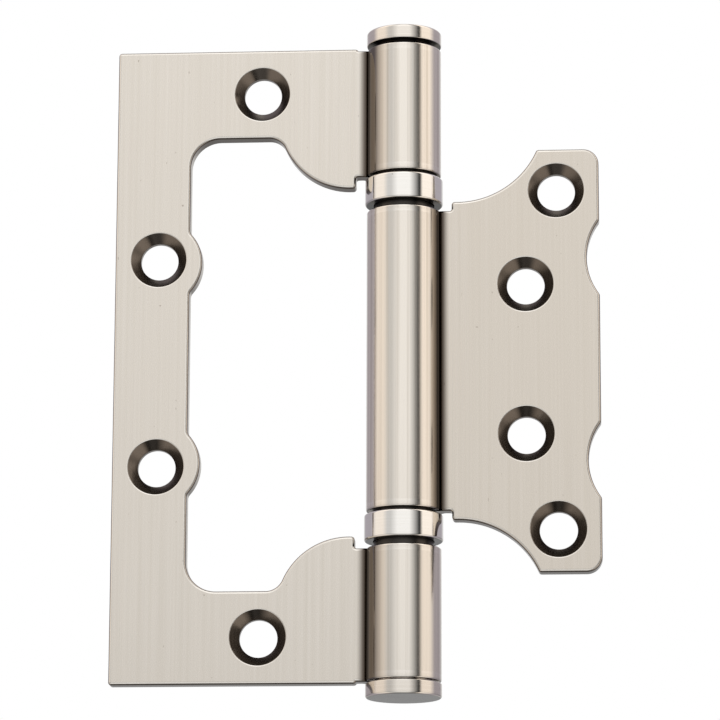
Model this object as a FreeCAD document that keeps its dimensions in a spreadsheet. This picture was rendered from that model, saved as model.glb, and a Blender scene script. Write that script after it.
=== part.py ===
"""Flush ball-bearing hinge: two pressed leaves, a pin, an end cap and two thrust bearings.

The frame leaf is fixed to the door frame and the door leaf folds flat into its window.
+X runs from the frame leaf towards the door leaf, +Y into the wood behind the leaves, +Z up.
The origin is on the frame leaf's back face, half-way up, on the line of its two web screws.
Every piece is drawn about the pin's axis and then placed there.
"""
import FreeCAD, Part
import os
from math import atan2, cos, pi, radians, sin, sqrt, tan

import Sketcher
from FreeCAD import Vector

# Driving dimensions in millimetres, angles in degrees
SIZES = {
    # pressed leaves
    "hinge_height": 100.0,
    "sheet_gauge": 2.5,
    "frame_reach": 44.8,
    "web_width": 11.6,
    "bar_height": 14.3,
    "window_corner": 4.6,
    "blank_corner": 0.5,
    "edge_rounding": 0.3,
    "frame_lobe_blend": 2.8,
    "root_relief": 1.85,
    "web_lobe_proud": 1.95,
    "web_lobe_spread": 15.9,
    "web_lobe_blend": 1.2,
    # gaps left round the door leaf when it lies in the window
    "nest_side_gap": 3.0,
    "nest_end_gap": 2.5,
    "nest_lobe_gap": 2.35,
    "door_corner": 2.4,
    "door_horn_tip": 0.5,
    "scallop_blend": 0.8,
    # countersunk screw holes
    "screw_hole": 5.8,
    "countersink": 8.75,
    "countersink_angle": 90.0,
    "bar_hole_inset": 0.3,
    "web_hole_spread": 16.35,
    "door_hole_edge": 6.6,
    "door_inner_hole_outset": 3.7,
    "door_inner_hole_spread": 11.75,
    # rolled knuckles
    "knuckle_inset": 0.3,
    "frame_knuckle": 20.45,
    "joggle_angle": 50.0,
    "joggle_bend": 0.8,
    "root_flat": 0.6,
    "seam_gap": 0.05,
    "knuckle_chamfer": 0.3,
    # pin, its head, and the end cap
    "pin_diameter": 6.4,
    "pin_clearance": 0.05,
    "press_band": 8.0,
    "press_ramp": 0.4,
    "tip_proud": 0.05,
    "tip_thickness": 2.2,
    "tip_rounding": 0.35,
    "neck_wall": 1.15,
    "head_gap": 0.7,
    "cap_gap": 0.25,
    "plug_length": 5.0,
    "plug_space": 0.3,
    "lead_in": 0.4,
    # thrust bearings
    "bearing_height": 5.65,
    "shell_proud": 0.29,
    "shell_wall": 0.5,
    "shell_lip": 0.5,
    "shell_rounding": 0.2,
    "shell_top_gap": 0.5,
    "shell_bottom_gap": 1.05,
    "lip_reach": 0.85,
    "lip_clearance": 0.05,
    "race_bore_clearance": 0.1,
    "race_edge_clearance": 0.1,
    "groove_depth": 0.25,
    "cage_wall": 0.25,
    "cage_clearance": 0.1,
    "ball_clearance": 0.03,
}
BALLS = 8

# Sizes of the leaves that follow from the driving ones
GAUGE = "sizes.sheet_gauge"
HALF_GAUGE = "(sizes.sheet_gauge / 2)"
HALF_HEIGHT = "(sizes.hinge_height / 2)"
WINDOW_REACH = "(sizes.frame_reach - sizes.web_width)"
WINDOW_HALF = f"({HALF_HEIGHT} - sizes.bar_height)"
WEB_HOLE_EDGE = "((sizes.web_width + sizes.web_lobe_proud) / 2)"
WEB_HOLE_REACH = f"(sizes.frame_reach - {WEB_HOLE_EDGE})"
BAR_HOLE_REACH = "(sizes.frame_reach / 2 - sizes.bar_hole_inset)"
BAR_HOLE_SPREAD = f"({HALF_HEIGHT} - sizes.bar_height / 2)"
BARREL_HALF = f"({HALF_HEIGHT} - sizes.knuckle_inset)"
FRAME_KNUCKLE_FOOT = f"({BARREL_HALF} - sizes.frame_knuckle)"
DOOR_KNUCKLE_HALF = f"({FRAME_KNUCKLE_FOOT} - sizes.bearing_height)"
FRAME_LOBE_RADIUS = f"({WINDOW_REACH} / 3)"
FRAME_LOBE_OFFSET = f"({WINDOW_REACH} / 4)"
FRAME_LOBE_RISE = f"({FRAME_KNUCKLE_FOOT} - sizes.root_relief + {FRAME_LOBE_RADIUS})"
DOOR_REACH = f"({WINDOW_REACH} - sizes.nest_side_gap)"
DOOR_HALF = f"({WINDOW_HALF} - sizes.nest_end_gap)"
DOOR_LOBE_RADIUS = f"({FRAME_LOBE_RADIUS} + sizes.nest_lobe_gap)"
SCALLOP_RADIUS = f"({WEB_HOLE_EDGE} + sizes.nest_side_gap)"
DOOR_INNER_HOLE_REACH = f"({DOOR_REACH} / 2 + sizes.door_inner_hole_outset)"
DOOR_OUTER_HOLE_REACH = f"({DOOR_REACH} - sizes.door_hole_edge)"
DOOR_OUTER_HOLE_SPREAD = f"({DOOR_HALF} - sizes.door_hole_edge)"

# Sizes of the barrel that follow
PIN_RADIUS = "(sizes.pin_diameter / 2)"
BORE_RADIUS = f"({PIN_RADIUS} + sizes.pin_clearance)"
BARREL_RADIUS = f"({BORE_RADIUS} + {GAUGE})"
JOGGLE = "(sizes.joggle_angle * 1 deg)"
JOGGLE_RUN = f"(({BORE_RADIUS} + {HALF_GAUGE}) / sin({JOGGLE}))"
BEND_RUN = f"((sizes.joggle_bend + {HALF_GAUGE}) * tan({JOGGLE} / 2))"
ROOT_REACH = f"({JOGGLE_RUN} + {BEND_RUN} + sizes.root_flat)"
ROLL_START = f"({ROOT_REACH} + {HALF_GAUGE})"
SEAM_DEPTH = f"({HALF_GAUGE} + sizes.seam_gap)"
TIP_RADIUS = f"({BARREL_RADIUS} + sizes.tip_proud)"
NECK_RADIUS = f"({BORE_RADIUS} + sizes.neck_wall)"
HEAD_FOOT = f"({BARREL_HALF} + sizes.head_gap)"
CAP_TOP = f"({BARREL_HALF} + sizes.cap_gap)"

# Sizes of a bearing that follow, with heights from its own bottom face
SHELL_RADIUS = f"({BARREL_RADIUS} + sizes.shell_proud)"
SHELL_BORE = f"({SHELL_RADIUS} - sizes.shell_wall)"
SHELL_FOOT = "sizes.shell_bottom_gap"
SHELL_TOP = "(sizes.bearing_height - sizes.shell_top_gap)"
LIP_BORE = f"({SHELL_BORE} - sizes.lip_reach)"
RACE_BORE = f"({PIN_RADIUS} + sizes.race_bore_clearance)"
RACE_EDGE = f"({SHELL_BORE} - sizes.race_edge_clearance)"
RACE_HUB = f"({LIP_BORE} - sizes.race_edge_clearance)"
CAGE_BORE = f"({RACE_BORE} + sizes.cage_clearance)"
CAGE_EDGE = f"({RACE_EDGE} - sizes.cage_clearance)"
BALL_SEAT = f"(({CAGE_EDGE} - {CAGE_BORE}) / 2 - sizes.cage_wall)"
BALL_RADIUS = f"({BALL_SEAT} - sizes.ball_clearance)"
BALL_PITCH = f"(({CAGE_BORE} + {CAGE_EDGE}) / 2)"
BALL_RISE = "(sizes.bearing_height / 2)"
RACE_HEIGHT = f"({BALL_RISE} - {BALL_SEAT} + sizes.groove_depth)"
TOP_RACE_FOOT = f"(sizes.bearing_height - {RACE_HEIGHT})"

# Names of a line's or arc's own points, and of the sketch's two axes
START, END, CENTRE = range(1, 4)
ACROSS_AXIS, UP_AXIS = -1, -2

# Which way a leaf lies from the pin
FRAME_SIDE, DOOR_SIDE = -1, 1

doc = FreeCAD.newDocument("flush_hinge")
sheet = doc.addObject("Spreadsheet::Sheet", "sizes")
for row, (alias, number) in enumerate(SIZES.items(), start=1):
    sheet.set(f"A{row}", alias)
    sheet.set(f"B{row}", str(number))
    sheet.setAlias(f"B{row}", alias)
doc.recompute()


def size(expression):
    """The present value of a size expression."""
    return float(sheet.evalExpression(expression))


def seat_on_pin(piece, rise="0"):
    """Place a piece on the pin's axis, lifted by a size."""
    piece.setExpression(".Placement.Base.x", WEB_HOLE_REACH)
    piece.setExpression(".Placement.Base.y", f"-{HALF_GAUGE}")
    piece.setExpression(".Placement.Base.z", rise)


def new_body(name, rise="0"):
    """An empty body on the pin's axis."""
    body = doc.addObject("PartDesign::Body", name)
    body.Label = name
    seat_on_pin(body, rise)
    return body


def new_sketch(body, name, plane, offset="0"):
    """A sketch on one of the body's own planes, moved along the plane's normal by a size."""
    sketch = body.newObject("Sketcher::SketchObject", f"{body.Label}_{name}")
    origin_plane = next(item for item in body.Origin.OriginFeatures if item.Role == plane)
    sketch.AttachmentSupport = (origin_plane, [""])
    sketch.MapMode = "FlatFace"
    sketch.setExpression(".AttachmentOffset.Base.z", offset)
    return sketch


def bind(sketch, name, constraint, expression):
    """Add a measured constraint and tie it to the sheet."""
    index = sketch.addConstraint(constraint)
    sketch.renameConstraint(index, name)
    sketch.setExpression(f"Constraints.{name}", expression)


def hold_one(sketch, name, kind, axis, geometry, point, expression):
    """Hold one point of a sketch at a size from one of the sketch's axes."""
    value = size(expression)
    if abs(value) < 1e-9:
        sketch.addConstraint(Sketcher.Constraint("PointOnObject", geometry, point, axis))
    elif value > 0:
        bind(sketch, name, Sketcher.Constraint(kind, -1, START, geometry, point, value), expression)
    else:
        away = Sketcher.Constraint(kind, geometry, point, -1, START, -value)
        bind(sketch, name, away, f"-({expression})")


def hold(sketch, name, geometry, point, across, up):
    """Hold one point of a sketch at two sizes from the sketch's origin."""
    hold_one(sketch, f"{name}_across", "DistanceX", UP_AXIS, geometry, point, across)
    hold_one(sketch, f"{name}_up", "DistanceY", ACROSS_AXIS, geometry, point, up)


def place(across, up):
    """A point of a sketch from two size expressions."""
    return Vector(size(across), size(up), 0)


def draw_outline(sketch, name, corners):
    """A closed outline of straight lines through corners given as pairs of size expressions."""
    points = [place(across, up) for across, up in corners]
    lines = []
    for here, there in zip(points, points[1:] + points[:1]):
        lines.append(sketch.addGeometry(Part.LineSegment(here, there)))
    for line, following in zip(lines, lines[1:] + lines[:1]):
        sketch.addConstraint(Sketcher.Constraint("Coincident", line, END, following, START))
    for number, (line, (across, up)) in enumerate(zip(lines, corners)):
        hold(sketch, f"{name}{number}", line, START, across, up)


def draw_rectangle(sketch, left, right, half_height):
    """An upright rectangle, half above and half below the middle."""
    low = f"-{half_height}"
    draw_outline(sketch, "corner", [(left, low), (right, low), (right, half_height), (left, half_height)])


def draw_circle(sketch, name, across, up, radius):
    """A circle whose centre and radius are size expressions."""
    circle = sketch.addGeometry(Part.Circle(place(across, up), Vector(0, 0, 1), size(radius)))
    hold(sketch, name, circle, CENTRE, across, up)
    bind(sketch, f"{name}_radius", Sketcher.Constraint("Radius", circle, size(radius)), radius)


def draw_circle_pair(sketch, name, across, up, radius):
    """Two like circles, above and below the middle."""
    draw_circle(sketch, f"{name}_above", across, up, radius)
    draw_circle(sketch, f"{name}_below", across, f"-{up}", radius)


def point_of(sketch, geometry, spot):
    """Which end of a line or arc lies at a spot."""
    near_start = sketch.getPoint(geometry, START).distanceToPoint(spot)
    near_end = sketch.getPoint(geometry, END).distanceToPoint(spot)
    return START if near_start < near_end else END


def join(sketch, kind, first, second, spot):
    """Join two pieces of an outline end to end, smoothly (Tangent) or not (Coincident)."""
    ends = (first, point_of(sketch, first, spot), second, point_of(sketch, second, spot))
    sketch.addConstraint(Sketcher.Constraint(kind, *ends))


def pad_through_gauge(body, sketch, name):
    """Give a leaf outline the sheet's thickness, half on each side of the pin's axis."""
    pad = body.newObject("PartDesign::Pad", f"{body.Label}_{name}")
    pad.Profile = sketch
    pad.SideType = "Symmetric"
    pad.setExpression("Length", GAUGE)


def check_cut(body, before, name):
    """Stop if a cut took no metal away."""
    doc.recompute()
    if body.Shape.Volume >= before:
        raise RuntimeError(f"{body.Label}: {name} cuts nothing")


def cut_through(body, sketch, name):
    """Punch a sketch through the sheet."""
    doc.recompute()
    before = body.Shape.Volume
    pocket = body.newObject("PartDesign::Pocket", f"{body.Label}_{name}")
    pocket.Profile = sketch
    pocket.Type = "ThroughAll"
    pocket.SideType = "Symmetric"
    check_cut(body, before, name)


def spin(body, name, sketch, cut=False):
    """Turn a drawn profile about the pin's axis, adding metal or cutting it away."""
    doc.recompute()
    before = body.Shape.Volume if cut else 0
    kind = "PartDesign::Groove" if cut else "PartDesign::Revolution"
    turned = body.newObject(kind, f"{body.Label}_{name}")
    turned.Profile = sketch
    turned.ReferenceAxis = (sketch, ["V_Axis"])
    turned.Angle = 360
    if cut:
        check_cut(body, before, name)
    doc.recompute()


def spin_outline(body, corners):
    """A turned piece from the (radius, height) corners of its section."""
    sketch = new_sketch(body, "section", "XZ_Plane")
    draw_outline(sketch, "corner", corners)
    spin(body, "turned", sketch)


def round_edges(body, name, radius, wanted):
    """Round every edge of the body that the test picks."""
    doc.recompute()
    base = body.Tip
    picked = [f"Edge{number}" for number, edge in enumerate(base.Shape.Edges, start=1) if wanted(edge)]
    if not picked:
        raise RuntimeError(f"{body.Label} has no edge for {name}")
    fillet = body.newObject("PartDesign::Fillet", f"{body.Label}_{name}")
    fillet.Base = (base, picked)
    fillet.setExpression("Radius", radius)
    doc.recompute()


def upright_at(across, up):
    """A test for the edges through the sheet at a place, above and below the middle."""
    def wanted(edge):
        box = edge.BoundBox
        through = box.YLength > size(GAUGE) / 2 and box.XLength < 0.01 and box.ZLength < 0.01
        return through and abs(box.Center.x - across) < 0.02 and abs(abs(box.Center.z) - up) < 0.02
    return wanted


def on_front(edge):
    """A test for the edges of a flat plate's front face, apart from the root beside the barrel."""
    box = edge.BoundBox
    at_root = box.XLength < 0.01 and abs(abs(box.Center.x) - size(ROOT_REACH)) < 0.01
    return box.YLength < 0.01 and abs(box.YMin + size(HALF_GAUGE)) < 0.01 and not at_root


def rim(radius, heights):
    """A test for the round edges of a turned piece at a radius and some heights."""
    def wanted(edge):
        box = edge.BoundBox
        wide = abs(box.XLength - 2 * size(radius)) < 0.01 and box.ZLength < 0.01
        return wide and any(abs(box.ZMin - size(height)) < 0.01 for height in heights)
    return wanted


def draw_roll(sketch, side):
    """The section of a rolled knuckle: flat sheet, joggle to the back, and the roll round the bore.

    The sheet leaves the plate, bends to the back by the joggle angle, runs straight to the roll
    and goes round the pin by the back, the far side and the front, to end beside its own bend.
    """
    half = size(HALF_GAUGE)
    bore = size(BORE_RADIUS)
    barrel = size(BARREL_RADIUS)
    inner_bend = size("sizes.joggle_bend")
    outer_bend = inner_bend + size(GAUGE)
    tilt = radians(size("sizes.joggle_angle"))
    bend_reach = (bore + half) / sin(tilt) + (inner_bend + half) * tan(tilt / 2)
    roll_start = size(ROLL_START)
    end_depth = size(SEAM_DEPTH)
    end_reach = sqrt(barrel ** 2 - end_depth ** 2)

    def at(reach, depth):
        """A point by its distance from the pin's axis towards the leaf, and towards the back."""
        return Vector(side * reach, depth, 0)

    def on_bend(radius, turn):
        """The point of a bend's arc at some turn from the plate."""
        return at(bend_reach - radius * sin(turn), half + inner_bend - radius * cos(turn))

    def on_roll(radius):
        """The point where the slanting stretch meets the roll."""
        return at(radius * sin(tilt), radius * cos(tilt))

    spots = [
        at(roll_start, -half),
        on_bend(outer_bend, 0),
        on_bend(outer_bend, tilt),
        on_roll(bore),
        at(end_reach * bore / barrel, -end_depth * bore / barrel),
        at(end_reach, -end_depth),
        on_roll(barrel),
        on_bend(inner_bend, tilt),
        on_bend(inner_bend, 0),
        at(roll_start, half),
    ]
    middles = {
        1: on_bend(outer_bend, tilt / 2),
        3: at(-bore, 0),
        5: at(-barrel, 0),
        7: on_bend(inner_bend, tilt / 2),
    }
    edges = []
    for number, (here, there) in enumerate(zip(spots, spots[1:] + spots[:1])):
        if number in middles:
            edges.append(sketch.addGeometry(Part.Arc(here, middles[number], there)))
        else:
            edges.append(sketch.addGeometry(Part.LineSegment(here, there)))
    front_flat, front_bend, slant, inside, seam, outside, _, back_bend, back_flat, root = edges
    for number, spot in enumerate(spots):
        pair = (edges[number - 1], edges[number])
        sharp = seam in pair or root in pair
        join(sketch, "Coincident" if sharp else "Tangent", *pair, spot)
    for circle in (inside, outside):
        sketch.addConstraint(Sketcher.Constraint("Coincident", circle, CENTRE, -1, START))
    sketch.addConstraint(Sketcher.Constraint("Coincident", front_bend, CENTRE, back_bend, CENTRE))
    sketch.addConstraint(Sketcher.Constraint("PointOnObject", -1, START, seam))
    sketch.addConstraint(Sketcher.Constraint("Horizontal", front_flat))
    sketch.addConstraint(Sketcher.Constraint("Horizontal", back_flat))
    bind(sketch, "bore", Sketcher.Constraint("Radius", inside, bore), BORE_RADIUS)
    bind(sketch, "barrel", Sketcher.Constraint("Radius", outside, barrel), BARREL_RADIUS)
    bind(sketch, "bend", Sketcher.Constraint("Radius", back_bend, inner_bend), "sizes.joggle_bend")
    hold(sketch, "front", root, point_of(sketch, root, spots[0]), f"{side} * {ROLL_START}", f"-{HALF_GAUGE}")
    hold(sketch, "back", root, point_of(sketch, root, spots[9]), f"{side} * {ROLL_START}", HALF_GAUGE)
    seam_end = point_of(sketch, seam, spots[5])
    bind(sketch, "seam", Sketcher.Constraint("DistanceY", seam, seam_end, -1, START, end_depth), SEAM_DEPTH)
    if side == FRAME_SIDE:
        bind(sketch, "joggle", Sketcher.Constraint("Angle", slant, tilt), JOGGLE)
    else:
        bind(sketch, "joggle", Sketcher.Constraint("Angle", slant, pi - tilt), f"180 deg - {JOGGLE}")


def break_knuckle_ends(body, ends):
    """Turn a small chamfer on the barrel at each knuckle end: (height, way into the metal)."""
    sketch = new_sketch(body, "knuckle_ends", "XZ_Plane")
    for number, (height, inward) in enumerate(ends):
        corners = [
            (f"{BARREL_RADIUS} - sizes.knuckle_chamfer", height),
            (BARREL_RADIUS, height),
            (BARREL_RADIUS, f"{height} + {inward} * sizes.knuckle_chamfer"),
        ]
        draw_outline(sketch, f"end{number}corner", corners)
    spin(body, "knuckle_chamfers", sketch, cut=True)


def drill_screw_holes(body, spots):
    """Countersunk screw holes from the front face at (across, up) spots, above and below."""
    sketch = new_sketch(body, "screws", "XZ_Plane", HALF_GAUGE)
    for number, (across, up) in enumerate(spots):
        draw_circle_pair(sketch, f"screw{number}", across, up, "(sizes.screw_hole / 2)")
    doc.recompute()
    before = body.Shape.Volume
    hole = body.newObject("PartDesign::Hole", f"{body.Label}_screw_holes")
    hole.Profile = sketch
    doc.recompute()
    hole.DepthType = "ThroughAll"
    hole.HoleCutType = "Countersink"
    hole.HoleCutCustomValues = True
    hole.setExpression("Diameter", "sizes.screw_hole")
    hole.setExpression("HoleCutDiameter", "sizes.countersink")
    hole.setExpression("HoleCutCountersinkAngle", "sizes.countersink_angle")
    check_cut(body, before, "screw holes")


def draw_window(sketch):
    """The window: straight on three sides, and two big lobes of metal left beside the barrel."""
    lobe = size(FRAME_LOBE_RADIUS)
    offset = size(FRAME_LOBE_OFFSET)
    rise = size(FRAME_LOBE_RISE)
    left, right = size(f"-{WINDOW_REACH}"), size(f"-{BARREL_RADIUS}")
    half = size(WINDOW_HALF)
    crest = -offset - sqrt(lobe ** 2 - (rise - half) ** 2)
    foot = rise - sqrt(lobe ** 2 - (right + offset) ** 2)
    web = sketch.addGeometry(Part.LineSegment(Vector(left, -half, 0), Vector(left, half, 0)))
    barrel = sketch.addGeometry(Part.LineSegment(Vector(right, foot, 0), Vector(right, -foot, 0)))
    for name, way in (("above", 1), ("below", -1)):
        spots = [Vector(left, way * half, 0), Vector(crest, way * half, 0), Vector(right, way * foot, 0)]
        turn = atan2(way * (half + foot - 2 * rise), 0.5 * (crest + right) + offset)
        middle = Vector(lobe * cos(turn) - offset, lobe * sin(turn) + way * rise, 0)
        bar = sketch.addGeometry(Part.LineSegment(spots[0], spots[1]))
        arc = sketch.addGeometry(Part.Arc(spots[1], middle, spots[2]))
        join(sketch, "Coincident", web, bar, spots[0])
        join(sketch, "Coincident", bar, arc, spots[1])
        join(sketch, "Coincident", arc, barrel, spots[2])
        sketch.addConstraint(Sketcher.Constraint("Horizontal", bar))
        up = f"{way} * {FRAME_LOBE_RISE}"
        hold(sketch, f"lobe_{name}", arc, CENTRE, f"-{FRAME_LOBE_OFFSET}", up)
        reach = Sketcher.Constraint("Radius", arc, lobe)
        bind(sketch, f"lobe_{name}_radius", reach, FRAME_LOBE_RADIUS)
        corner = point_of(sketch, web, spots[0])
        hold(sketch, f"web_{name}", web, corner, f"-{WINDOW_REACH}", f"{way} * {WINDOW_HALF}")
    above = point_of(sketch, barrel, Vector(right, foot, 0))
    hold_one(sketch, "barrel_side", "DistanceX", UP_AXIS, barrel, above, f"-{BARREL_RADIUS}")
    sketch.addConstraint(Sketcher.Constraint("Vertical", barrel))


def draw_web_lobe(sketch, name, up):
    """A half disc beside a web screw, flat side on the screw's line, round side in the window."""
    centre = place(f"-{WEB_HOLE_REACH}", up)
    radius = size(WEB_HOLE_EDGE)
    low, high = centre - Vector(0, radius, 0), centre + Vector(0, radius, 0)
    arc = sketch.addGeometry(Part.Arc(low, centre + Vector(radius, 0, 0), high))
    chord = sketch.addGeometry(Part.LineSegment(high, low))
    join(sketch, "Coincident", arc, chord, low)
    join(sketch, "Coincident", arc, chord, high)
    sketch.addConstraint(Sketcher.Constraint("Vertical", chord))
    sketch.addConstraint(Sketcher.Constraint("PointOnObject", arc, CENTRE, chord))
    hold(sketch, name, arc, CENTRE, f"-{WEB_HOLE_REACH}", up)
    bind(sketch, f"{name}_radius", Sketcher.Constraint("Radius", arc, radius), WEB_HOLE_EDGE)


def make_frame_leaf():
    """The C-shaped leaf: a plate with a window, lobes at its web screws, and two knuckles."""
    body = new_body("frame_leaf")
    plate = new_sketch(body, "plate", "XZ_Plane")
    draw_rectangle(plate, "-sizes.frame_reach", f"-{ROOT_REACH}", HALF_HEIGHT)
    pad_through_gauge(body, plate, "plate_pad")
    window = new_sketch(body, "window", "XZ_Plane")
    draw_window(window)
    cut_through(body, window, "window_cut")
    lobes = new_sketch(body, "lobes", "XZ_Plane")
    draw_web_lobe(lobes, "above", "sizes.web_lobe_spread")
    draw_web_lobe(lobes, "below", "-sizes.web_lobe_spread")
    pad_through_gauge(body, lobes, "lobe_pad")

    wall, half = size(WINDOW_REACH), size(WINDOW_HALF)
    swing = sqrt(size(WEB_HOLE_EDGE) ** 2 - (size(WEB_HOLE_REACH) - wall) ** 2)
    spread = size("sizes.web_lobe_spread")
    lobe, rise = size(FRAME_LOBE_RADIUS), size(FRAME_LOBE_RISE)
    crest = size(FRAME_LOBE_OFFSET) + sqrt(lobe ** 2 - (rise - half) ** 2)
    round_edges(body, "window_corners", "sizes.window_corner", upright_at(-wall, half))
    round_edges(body, "lobe_crests", "sizes.frame_lobe_blend", upright_at(-crest, half))
    round_edges(body, "lobe_outer_blends", "sizes.web_lobe_blend", upright_at(-wall, spread + swing))
    round_edges(body, "lobe_inner_blends", "sizes.web_lobe_blend", upright_at(-wall, spread - swing))
    outer = upright_at(-size("sizes.frame_reach"), size(HALF_HEIGHT))
    round_edges(body, "blank_corners", "sizes.blank_corner", outer)
    round_edges(body, "front_rounding", "sizes.edge_rounding", on_front)

    roll = new_sketch(body, "roll", "XY_Plane", FRAME_KNUCKLE_FOOT)
    draw_roll(roll, FRAME_SIDE)
    knuckle = body.newObject("PartDesign::Pad", "frame_leaf_knuckle")
    knuckle.Profile = roll
    knuckle.setExpression("Length", "sizes.frame_knuckle")
    pair = body.newObject("PartDesign::Mirrored", "frame_leaf_knuckle_pair")
    pair.Originals = [knuckle]
    middle_plane = next(item for item in body.Origin.OriginFeatures if item.Role == "XY_Plane")
    pair.MirrorPlane = (middle_plane, [""])
    body.Tip = pair
    ends = [
        (BARREL_HALF, -1),
        (FRAME_KNUCKLE_FOOT, 1),
        (f"-{FRAME_KNUCKLE_FOOT}", -1),
        (f"-{BARREL_HALF}", 1),
    ]
    break_knuckle_ends(body, ends)
    spots = [
        (f"-{WEB_HOLE_REACH}", "sizes.web_hole_spread"),
        (f"-{BAR_HOLE_REACH}", BAR_HOLE_SPREAD),
    ]
    drill_screw_holes(body, spots)
    return body


def make_door_leaf():
    """The leaf that folds into the window: its edges follow the window's lobes at a gap."""
    body = new_body("door_leaf")
    plate = new_sketch(body, "plate", "XZ_Plane")
    draw_rectangle(plate, ROOT_REACH, DOOR_REACH, DOOR_HALF)
    pad_through_gauge(body, plate, "plate_pad")
    bites = new_sketch(body, "bites", "XZ_Plane")
    draw_circle_pair(bites, "lobe", FRAME_LOBE_OFFSET, FRAME_LOBE_RISE, DOOR_LOBE_RADIUS)
    cut_through(body, bites, "bite_cut")
    scallops = new_sketch(body, "scallops", "XZ_Plane")
    draw_circle_pair(scallops, "scallop", WEB_HOLE_REACH, "sizes.web_lobe_spread", SCALLOP_RADIUS)
    cut_through(body, scallops, "scallop_cut")

    edge, spread = size(DOOR_REACH), size("sizes.web_lobe_spread")
    swing = sqrt(size(SCALLOP_RADIUS) ** 2 - (size(WEB_HOLE_REACH) - edge) ** 2)
    lobe, drop = size(DOOR_LOBE_RADIUS), size(FRAME_LOBE_RISE) - size(DOOR_HALF)
    horn = size(FRAME_LOBE_OFFSET) + sqrt(lobe ** 2 - drop ** 2)
    round_edges(body, "corners", "sizes.door_corner", upright_at(edge, size(DOOR_HALF)))
    round_edges(body, "horn_tips", "sizes.door_horn_tip", upright_at(horn, size(DOOR_HALF)))
    round_edges(body, "outer_blends", "sizes.scallop_blend", upright_at(edge, spread + swing))
    round_edges(body, "inner_blends", "sizes.scallop_blend", upright_at(edge, spread - swing))
    round_edges(body, "front_rounding", "sizes.edge_rounding", on_front)

    roll = new_sketch(body, "roll", "XY_Plane")
    draw_roll(roll, DOOR_SIDE)
    knuckle = body.newObject("PartDesign::Pad", "door_leaf_knuckle")
    knuckle.Profile = roll
    knuckle.SideType = "Symmetric"
    knuckle.setExpression("Length", f"2 * {DOOR_KNUCKLE_HALF}")
    break_knuckle_ends(body, [(DOOR_KNUCKLE_HALF, -1), (f"-{DOOR_KNUCKLE_HALF}", 1)])
    spots = [
        (DOOR_INNER_HOLE_REACH, "sizes.door_inner_hole_spread"),
        (DOOR_OUTER_HOLE_REACH, DOOR_OUTER_HOLE_SPREAD),
    ]
    drill_screw_holes(body, spots)
    return body


def make_hinge_pin():
    """The pin with its flat head: pressed into the top knuckle, free in the other two."""
    body = new_body("hinge_pin")
    low = f"(-{BARREL_HALF} + sizes.plug_length + sizes.plug_space)"
    band = f"({BARREL_HALF} - sizes.press_band)"
    top = f"({HEAD_FOOT} + sizes.tip_thickness)"
    spin_outline(body, [
        ("0", low),
        (f"{PIN_RADIUS} - sizes.lead_in", low),
        (PIN_RADIUS, f"{low} + sizes.lead_in"),
        (PIN_RADIUS, f"{band} - sizes.press_ramp"),
        (BORE_RADIUS, band),
        (BORE_RADIUS, BARREL_HALF),
        (NECK_RADIUS, BARREL_HALF),
        (NECK_RADIUS, HEAD_FOOT),
        (TIP_RADIUS, HEAD_FOOT),
        (TIP_RADIUS, top),
        ("0", top),
    ])
    round_edges(body, "head_rounding", "sizes.tip_rounding", rim(TIP_RADIUS, [top]))
    return body


def make_bottom_cap():
    """The end cap: a flat disc like the pin's head, with a plug pressed into the bottom knuckle."""
    body = new_body("bottom_cap")
    bottom = f"(-{CAP_TOP} - sizes.tip_thickness)"
    plug_top = f"(-{BARREL_HALF} + sizes.plug_length)"
    spin_outline(body, [
        ("0", bottom),
        (TIP_RADIUS, bottom),
        (TIP_RADIUS, f"-{CAP_TOP}"),
        (NECK_RADIUS, f"-{CAP_TOP}"),
        (NECK_RADIUS, f"-{BARREL_HALF}"),
        (BORE_RADIUS, f"-{BARREL_HALF}"),
        (BORE_RADIUS, f"{plug_top} - sizes.lead_in"),
        (f"{BORE_RADIUS} - sizes.lead_in", plug_top),
        ("0", plug_top),
    ])
    round_edges(body, "cap_rounding", "sizes.tip_rounding", rim(TIP_RADIUS, [bottom]))
    return body


def make_shell(name, rise):
    """The bright ring round a bearing, its lips turned in over both races."""
    body = new_body(name, rise)
    lip_floor = f"({SHELL_FOOT} + sizes.shell_lip)"
    lip_roof = f"({SHELL_TOP} - sizes.shell_lip)"
    spin_outline(body, [
        (LIP_BORE, SHELL_FOOT),
        (SHELL_RADIUS, SHELL_FOOT),
        (SHELL_RADIUS, SHELL_TOP),
        (LIP_BORE, SHELL_TOP),
        (LIP_BORE, lip_roof),
        (SHELL_BORE, lip_roof),
        (SHELL_BORE, lip_floor),
        (LIP_BORE, lip_floor),
    ])
    round_edges(body, "shell_rounding", "sizes.shell_rounding", rim(SHELL_RADIUS, [SHELL_FOOT, SHELL_TOP]))
    return body


def cut_raceway(body):
    """The ball groove in a race: the balls' own circle with their clearance, turned about the pin."""
    groove = new_sketch(body, "raceway", "XZ_Plane")
    draw_circle(groove, "ball", BALL_PITCH, BALL_RISE, BALL_SEAT)
    spin(body, "raceway_cut", groove, cut=True)


def make_bottom_race(name, rise):
    """The lower race: a hub that stands on the knuckle below, and a flange inside the shell."""
    body = new_body(name, rise)
    flange = f"({SHELL_FOOT} + sizes.shell_lip + sizes.lip_clearance)"
    spin_outline(body, [
        (RACE_BORE, "0"),
        (RACE_HUB, "0"),
        (RACE_HUB, flange),
        (RACE_EDGE, flange),
        (RACE_EDGE, RACE_HEIGHT),
        (RACE_BORE, RACE_HEIGHT),
    ])
    cut_raceway(body)
    return body


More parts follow.
